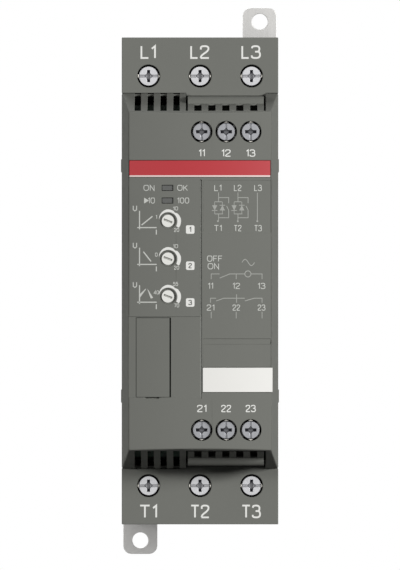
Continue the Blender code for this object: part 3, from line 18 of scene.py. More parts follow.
import bmesh
import bpy
import numpy as np
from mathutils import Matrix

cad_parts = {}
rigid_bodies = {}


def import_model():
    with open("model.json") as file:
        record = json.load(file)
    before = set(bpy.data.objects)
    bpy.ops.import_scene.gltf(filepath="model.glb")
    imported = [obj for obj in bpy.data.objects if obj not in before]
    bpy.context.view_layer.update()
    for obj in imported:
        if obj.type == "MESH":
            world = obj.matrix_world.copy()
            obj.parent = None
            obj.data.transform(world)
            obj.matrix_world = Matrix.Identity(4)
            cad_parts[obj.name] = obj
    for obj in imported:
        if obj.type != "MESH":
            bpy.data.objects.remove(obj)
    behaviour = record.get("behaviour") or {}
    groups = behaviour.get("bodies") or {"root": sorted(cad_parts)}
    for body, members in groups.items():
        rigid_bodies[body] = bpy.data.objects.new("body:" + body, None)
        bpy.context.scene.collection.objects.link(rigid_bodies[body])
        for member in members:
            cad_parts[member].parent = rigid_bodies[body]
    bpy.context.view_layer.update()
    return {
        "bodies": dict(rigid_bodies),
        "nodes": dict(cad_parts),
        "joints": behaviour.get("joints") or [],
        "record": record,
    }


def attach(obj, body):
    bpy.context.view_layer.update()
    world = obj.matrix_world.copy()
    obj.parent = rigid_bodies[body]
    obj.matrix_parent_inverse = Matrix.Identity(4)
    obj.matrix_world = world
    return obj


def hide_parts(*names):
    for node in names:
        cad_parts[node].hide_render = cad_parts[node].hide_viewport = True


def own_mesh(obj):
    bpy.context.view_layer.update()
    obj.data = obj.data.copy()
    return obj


LOG = logging.getLogger("soft_starter")
MM = 0.001
WHITE = (1.0, 1.0, 1.0, 1.0)
Points = np.ndarray
Socket = bpy.types.NodeSocket
Tree = bpy.types.NodeTree
Node = bpy.types.Node
Mesh = bpy.types.Mesh
Object = bpy.types.Object
Material = bpy.types.Material
Numbers = tuple[float, ...]
Pair = tuple[float, float]
Triple = tuple[float, float, float]
Colour = Triple
Line = tuple[Pair, ...]


def srgb(code: str) -> Colour:
    """Turn a hexadecimal screen colour into a linear one by the screens' standard curve.

    The curve is a straight line near black, and above that a power of 2.4.

    Args:
        code: Six hexadecimal digits.

    Returns:
        The linear red, green and blue.
    """
    values = np.array([int(code[index:index + 2], 16) for index in (0, 2, 4)]) / 255.0
    linear = np.where(values <= 0.04045, values / 12.92, ((values + 0.055) / 1.055) ** 2.4)
    return tuple(float(value) for value in linear)


GLYPH_TALL = 6.0
GLYPH_GAP = 1.5
# Each glyph's strokes, and whether a stroke's corners are rounded.
GLYPHS: dict[str, tuple[tuple[Line, bool], ...]] = {
    "0": ((((2, 6), (4, 6), (4, 0), (0, 0), (0, 6), (2, 6)), True),),
    "1": ((((0.6, 4.7), (2, 6), (2, 0)), False),),
    "2": ((((0.1, 4.3), (0.1, 6), (3.8, 6), (3.8, 3.7), (0.3, 1.3), (0, 0)), True),
          (((0, 0), (4, 0)), False)),
    "3": ((((0.1, 4.9), (0.3, 6), (3.7, 6), (3.7, 3.2), (1.6, 3.2)), True),
          (((1.6, 3.2), (4, 3.2), (4, 0), (0.1, 0), (0, 1.3)), True)),
    "4": ((((3, 0), (3, 6), (0, 1.6), (4, 1.6)), False),),
    "5": ((((3.7, 6), (0.7, 6), (0.35, 3.1)), False),
          (((0.35, 3.1), (1.0, 4.1), (4, 4.1), (4, 0), (0.2, 0), (0, 1.4)), True)),
    "7": ((((0, 6), (4, 6), (1.4, 0)), False),),
    "F": ((((0, 0), (0, 6), (3.6, 6)), False), (((0, 3.1), (3.1, 3.1)), False)),
    "K": ((((0, 0), (0, 6)), False), (((3.8, 6), (0.1, 2.3)), False), (((1.4, 3.5), (4, 0)), False)),
    "L": ((((0, 6), (0, 0), (3.1, 0)), False),),
    "N": ((((0, 0), (0, 6), (3.9, 0), (3.9, 6)), False),),
    "O": ((((2.4, 6), (4.8, 6), (4.8, 0), (0, 0), (0, 6), (2.4, 6)), True),),
    "T": ((((0, 6), (4.2, 6)), False), (((2.1, 6), (2.1, 0)), False)),
}


def finely(points: Points, longest: float = 1.2) -> Points:
    """Add points so that no side of a line is longer than a length, and a bent surface is followed.

    Args:
        points: The line's corners, one row each.
        longest: The longest side.

    Returns:
        The corners with evenly spaced points between them.
    """
    sides = np.linalg.norm(np.diff(points, axis=0), axis=1)
    counts = np.maximum(1, np.ceil(sides / longest)).astype(int)
    index = np.repeat(np.arange(len(counts)), counts)
    share = (np.arange(len(index)) - np.repeat(np.cumsum(counts) - counts, counts)) / counts[index]
    between = points[index] + (points[index + 1] - points[index]) * share[:, None]
    return np.vstack([between, points[-1:]])


def rounded(points: Points, passes: int = 3) -> Points:
    """Cut corners until a line runs smoothly through its control points' middles.

    Each pass puts points at a quarter and at three quarters of every side, and keeps both ends.

    Args:
        points: Control points, one row each.
        passes: How often to cut.

    Returns:
        The smooth line's points.
    """
    for _ in range(passes):
        near, far = points[:-1], points[1:]
        cut = np.stack([0.75 * near + 0.25 * far, 0.25 * near + 0.75 * far], axis=1).reshape(-1, 2)
        points = np.vstack([points[:1], cut, points[-1:]])
    return points


def stand(name: str, data: bpy.types.ID) -> Object:
    """Put an object with the given data into the scene."""
    item = bpy.data.objects.new(name, data)
    bpy.context.scene.collection.objects.link(item)
    return item


def read(items: bpy.types.bpy_prop_collection, name: str, width: int, kind: type = float) -> Points:
    """Read a property of all items of a mesh.

    Args:
        items: The items, such as its vertices.
        name: The property.
        width: How many values it has.
        kind: Their type.

    Returns:
        The values, one row for each item.
    """
    values = np.empty(len(items) * width, kind)
    items.foreach_get(name, values)
    return values.reshape(-1, width)


class Graph:
    """A node tree with short words for adding and linking nodes."""

    def __init__(self, tree: Tree) -> None:
        """Keep the tree and clear it."""
        self.tree = tree
        tree.nodes.clear()

    def add(self, kind: str, **settings: object) -> Node:
        """Add a node.

        Args:
            kind: The node's class without its ShaderNode prefix.
            **settings: Properties, or inputs by name where no property has that name.

        Returns:
            The new node.
        """
        node = self.tree.nodes.new(f"ShaderNode{kind}" if not kind.startswith("Node") else kind)
        for name, value in settings.items():
            if hasattr(node, name):
                setattr(node, name, value)
            else:
                node.inputs[name.replace("_", " ")].default_value = value
        return node

    def link(self, source: Socket, target: Socket) -> None:
        """Link an output to an input."""
        self.tree.links.new(source, target)

    def math(self, operation: str, first: object, second: object = 0.0) -> Socket:
        """Add a Math node whose two values are sockets or numbers, and return its output."""
        node = self.add("Math", operation=operation)
        for socket, value in zip(node.inputs, (first, second)):
            if isinstance(value, Socket):
                self.link(value, socket)
            else:
                socket.default_value = value
        return node.outputs[0]

    def axes(self) -> Node:
        """Add the object coordinates as three separate axes."""
        node = self.add("SeparateXYZ")
        self.link(self.add("TexCoord").outputs["Object"], node.inputs[0])
        return node

    def ramp(self, value: Socket, low: float, high: float, start: float = 0.0) -> Socket:
        """Add a smooth step of a value, from start at low to 1 at high, and return its output."""
        node = self.add("MapRange", interpolation_type="SMOOTHSTEP")
        self.link(value, node.inputs["Value"])
        for name, limit in (("From Min", low), ("From Max", high), ("To Min", start)):
            node.inputs[name].default_value = limit
        return node.outputs["Result"]

    def mix(self, mask: Socket, first: Socket | Colour, second: Colour) -> Socket:
        """Mix two colours by a mask.

        Args:
            mask: The mask.
            first: The colour where the mask is 0, plain or from a socket.
            second: The plain colour where it is 1.

        Returns:
            The mixed colour.
        """
        node = self.add("Mix", data_type="RGBA")
        self.link(mask, node.inputs["Factor"])
        if isinstance(first, Socket):
            self.link(first, node.inputs["A"])
        else:
            node.inputs["A"].default_value = (*first, 1.0)
        node.inputs["B"].default_value = (*second, 1.0)
        return node.outputs["Result"]

    def finish(self, mask: Socket, first: Node, second: Node, end: str) -> None:
        """Send two shaders, mixed by a mask, to an output node of the given kind."""
        node = self.add("MixShader")
        self.link(mask, node.inputs[0])
        self.link(first.outputs[0], node.inputs[1])
        self.link(second.outputs[0], node.inputs[2])
        self.link(node.outputs[0], self.add(end).inputs["Surface"])


class NoiseGroup(Graph):
    """A node group that makes a height and a tone from noise."""

    def __init__(self, name: str, values: Sequence[str]) -> None:
        """Start a group with the given name and input values."""
        super().__init__(bpy.data.node_groups.new(name, "ShaderNodeTree"))
        for sockets, way in ((values, "INPUT"), (("Height", "Tone"), "OUTPUT")):
            for socket in sockets:
                self.tree.interface.new_socket(socket, in_out=way, socket_type="NodeSocketFloat")
        self.inside, self.outside = self.add("NodeGroupInput"), self.add("NodeGroupOutput")

    def noise(self, place: Socket, scale: str, output: str, **settings: float) -> None:
        """Send noise to an output.

        Args:
            place: Where the noise is read.
            scale: The input value that gives its scale.
            output: The output.
            **settings: The noise's other inputs.
        """
        noise = self.add("TexNoise", **settings)
        self.link(place, noise.inputs["Vector"])
        self.link(self.inside.outputs[scale], noise.inputs["Scale"])
        self.link(noise.outputs[0], self.outside.inputs[output])


class Effect(Enum):
    """Surface effects that several finishes share, each one node group."""

    MOULD_GRAIN = "mould_grain"
    ROLLED_STREAKS = "rolled_streaks"


class EffectLibrary:
    """Builds each shared node group once and places it in materials."""

    def __init__(self) -> None:
        """Start with no group built."""
        self._groups: dict[Effect, Tree] = {}

    def place(self, graph: Graph, effect: Effect, **values: float) -> Node:
        """Put a group into a material.

        Args:
            graph: The material's nodes.
            effect: Which effect.
            **values: The group's own input values by name.

        Returns:
            The group node.
        """
        if effect not in self._groups:
            builder = {Effect.MOULD_GRAIN: self._mould_grain, Effect.ROLLED_STREAKS: self._rolled_streaks}
            self._groups[effect] = builder[effect](effect.value)
        node = graph.tree.nodes.new("ShaderNodeGroup")
        node.node_tree = self._groups[effect]
        for name, value in values.items():
            node.inputs[name.replace("_", " ").title()].default_value = value
        return node

    @staticmethod
    def _mould_grain(name: str) -> Tree:
        """Spark-eroded mould texture: fine noise for the height, slow noise for the tone."""
        group = NoiseGroup(name, ("Grain Scale", "Tone Scale"))
        place = group.add("TexCoord").outputs["Object"]
        group.noise(place, "Grain Scale", "Height", Detail=3.0, Roughness=0.6)
        group.noise(place, "Tone Scale", "Tone", Detail=4.0, Roughness=0.6)
        return group.tree

    @staticmethod
    def _rolled_streaks(name: str) -> Tree:
        """Rolled or drawn metal: noise pulled out along Z, and a slow cloud for its tone."""
        group = NoiseGroup(name, ("Streak Scale", "Stretch", "Tone Scale"))
        axes, joined = group.axes(), group.add("CombineXYZ")
        pulled = group.math("MULTIPLY", axes.outputs["Z"], group.inside.outputs["Stretch"])
        group.link(axes.outputs["X"], joined.inputs["X"])
        group.link(axes.outputs["Y"], joined.inputs["Y"])
        group.link(pulled, joined.inputs["Z"])
        group.noise(joined.outputs[0], "Streak Scale", "Height", Detail=4.0, Roughness=0.65)
        group.noise(group.add("TexCoord").outputs["Object"], "Tone Scale", "Tone", Detail=3.0)
        return group.tree


@dataclass(frozen=True)
class Finish:
    """A finish: a colour that drifts a little and a fine relief.

    Attributes:
        name: The material's name.
        colour: Its linear colour.
        roughness: Its mean roughness.
        metallic: 1 for a metal.
        effect: The shared effect that gives the relief.
        scale: Fineness of the relief, per metre.
        stretch: For streaks, how far they run.
        relief: Depth of the relief in metres.
        drift: How far the tone drifts from dark to light.
        tone_scale: Fineness of that drift, per metre.
        specular: Strength of the reflection on a plastic.
        sway: How far the roughness varies with the relief.
    """

    name: str
    colour: Colour
    roughness: float
    metallic: float = 0.0
    effect: Effect = Effect.MOULD_GRAIN
    scale: float = 7000.0
    stretch: float = 0.02
    relief: float = 0.00002
    drift: float = 0.05
    tone_scale: float = 90.0
    specular: float = 0.5
    sway: float = 0.16

    def shades(self) -> tuple[Colour, Colour]:
        """The darkest and the lightest tone of the drift."""
        low = tuple(value * (1 - self.drift) for value in self.colour)
        high = tuple(min(1.0, value * (1 + self.drift)) for value in self.colour)
        return low, high

    def base(self, graph: Graph, tone: Socket) -> Socket:
        """Colour of the surface, from the slow tone."""
        return graph.mix(tone, *self.shades())

    def extras(self, shader: Node) -> None:
        """Plain values on the shader's own sockets."""
        shader.inputs["Metallic"].default_value = self.metallic
        shader.inputs["Specular IOR Level"].default_value = self.specular

    def build(self, effects: EffectLibrary) -> Material:
        """Make the material.

        Args:
            effects: The shared node groups.

        Returns:
            The material.
        """
        material = bpy.data.materials.new(self.name)
        material.use_nodes = True
        graph = Graph(material.node_tree)
        shader = graph.add("BsdfPrincipled")
        graph.link(shader.outputs[0], graph.add("OutputMaterial").inputs["Surface"])
        if self.effect is Effect.MOULD_GRAIN:
            group = effects.place(graph, self.effect, grain_scale=self.scale, tone_scale=self.tone_scale)
        else:
            group = effects.place(graph, self.effect, streak_scale=self.scale, stretch=self.stretch,
                                  tone_scale=self.tone_scale)
        graph.link(self.base(graph, group.outputs["Tone"]), shader.inputs["Base Color"])
        rough = graph.math("MULTIPLY_ADD", group.outputs["Height"], self.sway)
        rough.node.inputs[2].default_value = self.roughness - self.sway / 2
        graph.link(rough, shader.inputs["Roughness"])
        bump = graph.add("Bump", Strength=1.0, Distance=self.relief)
        graph.link(group.outputs["Height"], bump.inputs["Height"])
        graph.link(bump.outputs[0], shader.inputs["Normal"])
        self.extras(shader)
        return material


@dataclass(frozen=True)
class StripFinish(Finish):
    """The coloured strip, with a white line along its lower edge.

    Attributes:
        line: Colour of the line.
        line_top: Height below which the line runs.
    """

    line: Colour = srgb("dcc8c4")
    line_top: float = 30.2 * MM

    def base(self, graph: Graph, tone: Socket) -> Socket:
        """Red above the line's top edge and white below it."""
        mask = graph.math("LESS_THAN", graph.axes().outputs["Z"], self.line_top)
        return graph.mix(mask, super().base(graph, tone), self.line)


@dataclass(frozen=True)
class RecessFinish(Finish):
    """A finish with painted shade in its recesses: its colour turns darker between given row coordinates.

    Attributes:
        dark: Colour of the painted shade deep in a recess.
        bands: Row coordinates where the painted shade in each recess begins, is full and ends.
        grid: Pitch, x of one centre and height of the centres, or nothing for an even tone.
        centre: Radii where the middle with lighter painted shade ends and where the painted shade is full,
            and the share of the painted shade in the middle.
    """

    dark: Colour = srgb("2c2c2f")
    bands: tuple[Triple, ...] = ()
    grid: Numbers = ()
    centre: Triple = (0.6 * MM, 1.1 * MM, 0.5)

    def base(self, graph: Graph, tone: Socket) -> Socket:
        """The surface's colour, blended to the dark one as painted shade by the depth in a band."""
        axes = graph.axes()
        row = axes.outputs["Y"]
        parts = [graph.math("MULTIPLY", graph.ramp(row, start, full), graph.math("LESS_THAN", row, end))
                 for start, full, end in self.bands]
        mask = functools.reduce(lambda one, other: graph.math("MAXIMUM", one, other), parts)
        if self.grid:
            mask = graph.math("MULTIPLY", mask, self._paler_middle(graph, axes))
        return graph.mix(mask, super().base(graph, tone), self.dark)

    def _paler_middle(self, graph: Graph, axes: Node) -> Socket:
        """A factor that lessens the painted shade near each centre of the grid.

        The distance to the nearest centre is the hypotenuse of x's remainder on the pitch and
        the height's difference from the row.
        """
        pitch, shift, row = self.grid
        steps = graph.math("DIVIDE", graph.math("SUBTRACT", axes.outputs["X"], shift), pitch)
        across = graph.math("MULTIPLY", graph.math("SUBTRACT", steps, graph.math("ROUND", steps)), pitch)
        up = graph.math("SUBTRACT", graph.math("ABSOLUTE", axes.outputs["Z"]), row)
        squares = graph.math("ADD", graph.math("MULTIPLY", across, across), graph.math("MULTIPLY", up, up))
        return graph.ramp(graph.math("SQRT", squares), *self.centre)


@dataclass(frozen=True)
class CoverFinish(Finish):
    """The raised cover's plastic, a little paler in the fine groove down its panel as painted light that
    lifts the groove's shade.

    Attributes:
        pale: Colour in the groove, painted light against its shade.
        groove: Lowest and highest x, row coordinate and height on the groove's floor.
    """

    pale: Colour = srgb("8f908b")
    groove: tuple[Pair, ...] = ((0.0, 0.6 * MM), (-120.2 * MM, -119.9 * MM),
                                               (-33.6 * MM, 28.8 * MM))

    def base(self, graph: Graph, tone: Socket) -> Socket:
        """The plastic's colour, and the paler one inside the groove's box as painted light."""
        axes = graph.axes()
        tests = [graph.math(sense, axes.outputs[axis], limit) for axis, limits in zip("XYZ", self.groove)
                 for sense, limit in zip(("GREATER_THAN", "LESS_THAN"), limits)]
        mask = functools.reduce(lambda one, other: graph.math("MULTIPLY", one, other), tests)
        return graph.mix(mask, super().base(graph, tone), self.pale)


@dataclass(frozen=True)
class BoardFinish(Finish):
    """A circuit board: solder mask with paler tracks under it.

    Attributes:
        track: Colour over the tracks.
        pitch: Fineness of the track pattern, per metre.
        disorder: How far the pattern departs from a square grid, from 0 to 1.
        width: Width of a track, as a share of the pitch.
    """

    track: Colour = srgb("184128")
    pitch: float = 220.0
    disorder: float = 0.55
    width: float = 0.09

    def base(self, graph: Graph, tone: Socket) -> Socket:
        """Tracks from the edges of a cell pattern over the mask's colour."""
        cells = graph.add("TexVoronoi", feature="DISTANCE_TO_EDGE", Scale=self.pitch,
                          Randomness=self.disorder)
        graph.link(graph.add("TexCoord").outputs["Object"], cells.inputs["Vector"])
        mask = graph.math("LESS_THAN", cells.outputs["Distance"], self.width)
        return graph.mix(mask, super().base(graph, tone), self.track)


@dataclass(frozen=True)
class ClearFinish(Finish):
    """A dark clear window or lens.

    Attributes:
        coat: Weight of its glossy skin.
        coat_roughness: Roughness of that skin.
    """

    coat: float = 0.25
    coat_roughness: float = 0.08

    def extras(self, shader: Node) -> None:
        """A glossy skin over the dark body."""
        shader.inputs["Coat Weight"].default_value = self.coat
        shader.inputs["Coat Roughness"].default_value = self.coat_roughness


@dataclass
class FinishShelf:
    """Every finish of the device, made on first use.

    Attributes:
        effects: The shared node groups.
        finishes: Every finish by its name.
        made: The materials built so far.
    """

    effects: EffectLibrary = field(default_factory=EffectLibrary)
    finishes: dict[str, Finish] = field(default_factory=dict)
    made: dict[str, Material] = field(default_factory=dict)

    def __post_init__(self) -> None:
        """List the finishes by name. A metal's bare values are those from metallic to drift."""
        streaks = Effect.ROLLED_STREAKS
        moulded = {"relief": 0.000012, "drift": 0.025, "specular": 0.04}
        glossy = {"relief": 0.000006, "drift": 0.015, "specular": 0.3}
        inked = {"relief": 0.000002, "drift": 0.02, "specular": 0.2}
        for finish in (
            Finish("housing_plastic", srgb("70716c"), 0.7, **moulded),
            # The modules' plastic is darker than the housing's as painted shade on their nose and comb.
            Finish("insert_plastic_painted_shade", srgb("6b6c67"), 0.7, **moulded),
            # The cover's groove gets painted light: a paler colour that lifts its shade.
            CoverFinish("cover_plastic", srgb("70716c"), 0.7, **moulded),
            Finish("rear_plastic", srgb("646560"), 0.7, relief=0.000012, drift=0.03, specular=0.04),
            Finish("cast_aluminium", srgb("c9cacb"), 0.42, 1.0, streaks, 2600.0, 0.01, 0.00001, 0.06),
            Finish("zinc_sheet", srgb("b7b6b4"), 0.45, 1.0, streaks, 1500.0, 0.08, 0.000004, 0.04),
            Finish("spring_wire", srgb("b9b9ba"), 0.32, 1.0, streaks, 3000.0, 0.3, 0.000004, 0.05),
            # The screws carry painted shade: darker by depth in the gap round the head and in its recess,
            # lighter at the recess's middle.
            RecessFinish("bright_screw", srgb("b6b6b8"), 0.44, 1.0, streaks, 2500.0, 0.6, 0.000003, 0.03,
                         dark=srgb("2a2a30"), bands=((-91.55 * MM, -91.0 * MM, -88.9 * MM),),
                         grid=(14.8 * MM, 0.0, 58.9 * MM), centre=(0.6 * MM, 1.1 * MM, 0.6)),
            RecessFinish("dull_screw", srgb("8c8d90"), 0.46, 1.0, streaks, 2500.0, 0.6, 0.000003, 0.03,
                         dark=srgb("28282c"), bands=((-118.9 * MM, -118.45 * MM, -115.5 * MM),),
                         grid=(7.01 * MM, 7.49 * MM, 42.66 * MM), centre=(0.4 * MM, 0.9 * MM, 0.6)),
            Finish("cage_zinc", srgb("c3c3c0"), 0.4, 1.0, streaks, 1800.0, 0.1, 0.000006, 0.06),
            # The contacts' flange, seen through the gap round each screw, is darkened by depth as painted
            # shade.
            RecessFinish("tinned_copper", srgb("d4d1c9"), 0.36, 1.0, streaks, 1500.0, 0.1, 0.000004, 0.05,
                         dark=srgb("181818"), bands=((-91.2 * MM, -90.9 * MM, -87.5 * MM),
                                                     (-118.6 * MM, -118.3 * MM, -114.4 * MM))),
            Finish("white_plastic", srgb("e0dfdb"), 0.45, **glossy),
            # The knob's slot is darkened by depth as painted shade.
            RecessFinish("knob_plastic", srgb("dbdbd6"), 0.45, **glossy, dark=srgb("a3a39e"),
                         bands=((-119.7 * MM, -119.4 * MM, -119.15 * MM),)),
            Finish("black_compound", srgb("2b2b2b"), 0.5, relief=0.00002, drift=0.08),
            Finish("white_ink", srgb("dfdfdb"), 0.65, **inked),
            Finish("grey_ink", srgb("c2c3be"), 0.65, **inked),
            Finish("pale_ink", srgb("9d9e99"), 0.65, **inked),
            Finish("dark_ink", srgb("5c5d59"), 0.65, **inked),
            StripFinish("strip_lacquer", srgb("ac343a"), 0.5, relief=0.000004, drift=0.015, specular=0.3),
            BoardFinish("solder_mask", srgb("0f2c19"), 0.4, relief=0.000006, drift=0.06),
            ClearFinish("smoke_window", srgb("494a48"), 0.4, relief=0.000002, drift=0.03),
        ):
            self.finishes[finish.name] = finish

    def get(self, name: str) -> Material:
        """The material of a finish.

        Args:
            name: The finish's name.

        Returns:
            Its material, built on the first call.
        """
        if name not in self.made:
            self.made[name] = self.finishes[name].build(self.effects)
        return self.made[name]


@dataclass(frozen=True)
class Panel:
    """The crowned front panel, as a surface over x.

    Attributes:
        front: Row coordinate of its highest line, at the middle.
        crown: How far it falls back at half its width.
        half_width: Half its width.
        rise: What one millimetre read on the photograph measures up the panel, which is nearer.
    """

    front: float = -120.5 * MM
    crown: float = 2.0 * MM
    half_width: float = 20.5 * MM
    rise: float = 0.9922

    def surface(self, xs: Points, recess: float = 0.0) -> Points:
        """Row coordinate of the surface: a parabola across x, moved back by the recess."""
        return self.front + self.crown * (xs / self.half_width) ** 2 + recess

    def ink(self, proud: float = 0.02 * MM, recess: float = 0.0) -> "Ink":
        """Empty print that follows the surface, or a field that lies behind it."""
        return Ink(lambda xs: self.surface(xs, recess), proud, rise=self.rise)

    def shade(self, item: Object, reach: float = 0.6 * MM, turn: float = 7.0) -> None:
        """Give the facets of the crowned front the true curve's normals.

        A corner whose normal is close to the curve's, and which lies near the surface, takes
        (slope, -1, 0) scaled to one, where the slope is 2 x crown / half width squared, times x.
        All other corners keep theirs.

        Args:
            item: The piece whose front follows the panel.
            reach: How far behind the surface a corner may lie.
            turn: How far in degrees its normal may be from the curve's.
        """
        mesh = item.data
        normals = read(mesh.corner_normals, "vector", 3)
        places = read(mesh.vertices, "co", 3)[read(mesh.loops, "vertex_index", 1, int)[:, 0]]
        xs = places[:, 0]
        slope = 2 * self.crown * xs / self.half_width ** 2
        curve = np.column_stack([slope, -np.ones_like(xs), np.zeros_like(xs)])
        curve /= np.linalg.norm(curve, axis=1)[:, None]
        alike = np.sum(curve * normals, axis=1) > math.cos(math.radians(turn))
        near = places[:, 1] < self.surface(xs, reach)
        mesh.normals_split_custom_set(np.where((alike & near)[:, None], curve, normals).tolist())


@dataclass
class Ink:
    """Thin print that is laid on a surface, collected into one mesh.

    Attributes:
        surface: Gives the row coordinate of the surface at each x.
        proud: How far the print stands out.
        sunk: How far it reaches into the surface.
        rise: What one millimetre of the drawing measures up the surface.
        layer: How much higher each slab stands than the one before it.
        layers: After how many slabs that starts again.
        pen_share: Width of a letter's strokes, as a share of its height.
        widest: How far letters may be drawn out.
        vertices: The vertices of each slab.
        faces: The faces of all slabs.
    """

    surface: Callable[[Points], Points]
    proud: float = 0.02 * MM
    sunk: float = 0.04 * MM
    rise: float = 1.0
    layer: float = 0.0015 * MM
    layers: int = 7
    pen_share: float = 0.115
    widest: float = 1.15
    vertices: list[Points] = field(default_factory=list)
    faces: list[list[int]] = field(default_factory=list)

    def band(self, left: Points, right: Points) -> None:
        """A slab between two lines of the same number of points.

        Its section is the rectangle between the lines, from sunk below to proud above the
        surface, carried from their first points to their last. Each slab stands a hair higher
        than the one before it, so that strokes that cross don't share a face.

        Args:
            left: Points (x, z) of one edge, in millimetres.
            right: Points of the other edge.
        """
        count = len(left)
        edges = np.vstack([left, right]) * (MM, MM * self.rise)
        ys = self.surface(edges[:, 0])
        proud = self.proud + self.layer * (len(self.vertices) % self.layers)
        top = np.column_stack([edges[:, 0], ys - proud, edges[:, 1]])
        low = np.column_stack([edges[:, 0], ys + self.sunk, edges[:, 1]])
        step = np.arange(count - 1)
        a, b, c, d = step, step + count, step + 2 * count, step + 3 * count
        quads = np.vstack([
            np.column_stack([a, a + 1, b + 1, b]), np.column_stack([c, d, d + 1, c + 1]),
            np.column_stack([a, c, c + 1, a + 1]), np.column_stack([b, b + 1, d + 1, d]),
            [[0, count, 3 * count, 2 * count]],
            [[count - 1, 3 * count - 1, 4 * count - 1, 2 * count - 1]],
        ])
        self.faces += (quads + sum(map(len, self.vertices))).tolist()
        self.vertices.append(np.vstack([top, low]))

    def stroke(self, points: Sequence[Sequence[float]], width: float, sharpest: float = 0.3) -> None:
        """A line of even width through points, with mitred corners, in millimetres.

        Each point's edge lies along the mean of its neighbours' normals, drawn out by the
        cosine of half the turn.

        Args:
            points: The line's points (x, z).
            width: Its width.
            sharpest: The least cosine that a corner is drawn out by.
        """
        path = finely(np.asarray(points, float))
        ahead = np.diff(path, axis=0)
        ahead /= np.linalg.norm(ahead, axis=1)[:, None]
        tangents = np.vstack([ahead[:1], ahead[:-1] + ahead[1:], ahead[-1:]])
        tangents /= np.linalg.norm(tangents, axis=1)[:, None]
        normals = np.column_stack([-tangents[:, 1], tangents[:, 0]])
        own = np.vstack([ahead[:1], ahead])
        reach = width / 2 / np.clip(np.sum(tangents * own, axis=1), sharpest, 1.0)
        self.band(path + normals * reach[:, None], path - normals * reach[:, None])

    def arc_band(self, centre: Pair, angles: Numbers, inner: Numbers, outer: Numbers,
                 count: int = 40) -> None:
        """A ring sector whose two radii run through given values, in millimetres.

        Args:
            centre: Its centre (x, z).
            angles: Key angles in degrees.
            inner: The inner radius at each key angle.
            outer: The outer radius at each key angle.
            count: Points along it.
        """
        turns = np.linspace(0.0, 1.0, count)
        keys = np.linspace(0.0, 1.0, len(angles))
        angle = np.radians(np.interp(turns, keys, angles))
        rays = np.column_stack([np.cos(angle), np.sin(angle)])
        middle = np.asarray(centre, float)
        near = middle + rays * np.interp(turns, keys, inner)[:, None]
        far = middle + rays * np.interp(turns, keys, outer)[:, None]
        self.band(near, far)

    def ring(self, centre: Pair, inner: float, outer: float, count: int) -> None:
        """A full ring, in millimetres, with so many points round it."""
        self.arc_band(centre, (0, 360), (inner, inner), (outer, outer), count)

    def plate(self, centre: Pair, size: Pair, radius: float, count: int = 6) -> None:
        """A filled rectangle with round corners, in millimetres, as a band from left to right.

        At each x the half height is the rectangle's, less the corner circle's sagitta.

        Args:
            centre: Its centre (x, z).
            size: Its width and height.
            radius: Radius of its corners.
            count: Points round each corner.
        """
        half = np.asarray(size, float) / 2
        turn = np.linspace(0.0, math.pi / 2, count)
        ahead, inset = radius * (1 - np.cos(turn)), radius * (1 - np.sin(turn))
        xs = np.concatenate([-half[0] + ahead, half[0] - ahead[::-1]])
        drop = np.concatenate([inset, inset[::-1]])
        top = np.column_stack([centre[0] + xs, centre[1] + half[1] - drop])
        low = np.column_stack([centre[0] + xs, centre[1] - half[1] + drop])
        self.band(top, low)

    def words(self, text: str, centre: Pair, height: float, width: float, pen: float = 0.0) -> None:
        """Letters or digits of even strokes, fitted to a height and a width in millimetres.

        Each glyph's strokes stand on a grid of four by six, and a glyph's advance is its own
        width and a gap. The line is scaled to the asked box, less the pen, but is drawn out only
        so far.

        Args:
            text: What to write.
            centre: Its centre (x, z).
            height: Height over its capitals.
            width: Full width of the line.
            pen: Width of its strokes, or 0 for the usual share of the height.
        """
        pen = pen or self.pen_share * height
        lines, start = [], 0.0
        for letter in text:
            strokes = GLYPHS[letter]
            points = np.vstack([np.asarray(points, float) for points, _ in strokes])
            low, high = points[:, 0].min(), points[:, 0].max()
            for points, soft in strokes:
                shape = np.asarray(points, float) + (start - low, 0.0)
                lines.append(rounded(shape) if soft else shape)
            start += high - low + GLYPH_GAP
        tall = (height - pen) / GLYPH_TALL
        scale = np.array([min((width - pen) / (start - GLYPH_GAP), self.widest * tall), tall])
        middle = np.array([(start - GLYPH_GAP) / 2, GLYPH_TALL / 2])
        for line in lines:
            self.stroke((line - middle) * scale + np.asarray(centre, float), pen)

    def mesh(self, name: str) -> Mesh:
        """Make the print one mesh of the given name, with its faces pointing out."""
        mesh = bpy.data.meshes.new(name)
        mesh.from_pydata(np.vstack(self.vertices).tolist(), [], self.faces)
        work = bmesh.new()
        work.from_mesh(mesh)
        bmesh.ops.recalc_face_normals(work, faces=work.faces)
        work.to_mesh(mesh)
        work.free()
        return mesh


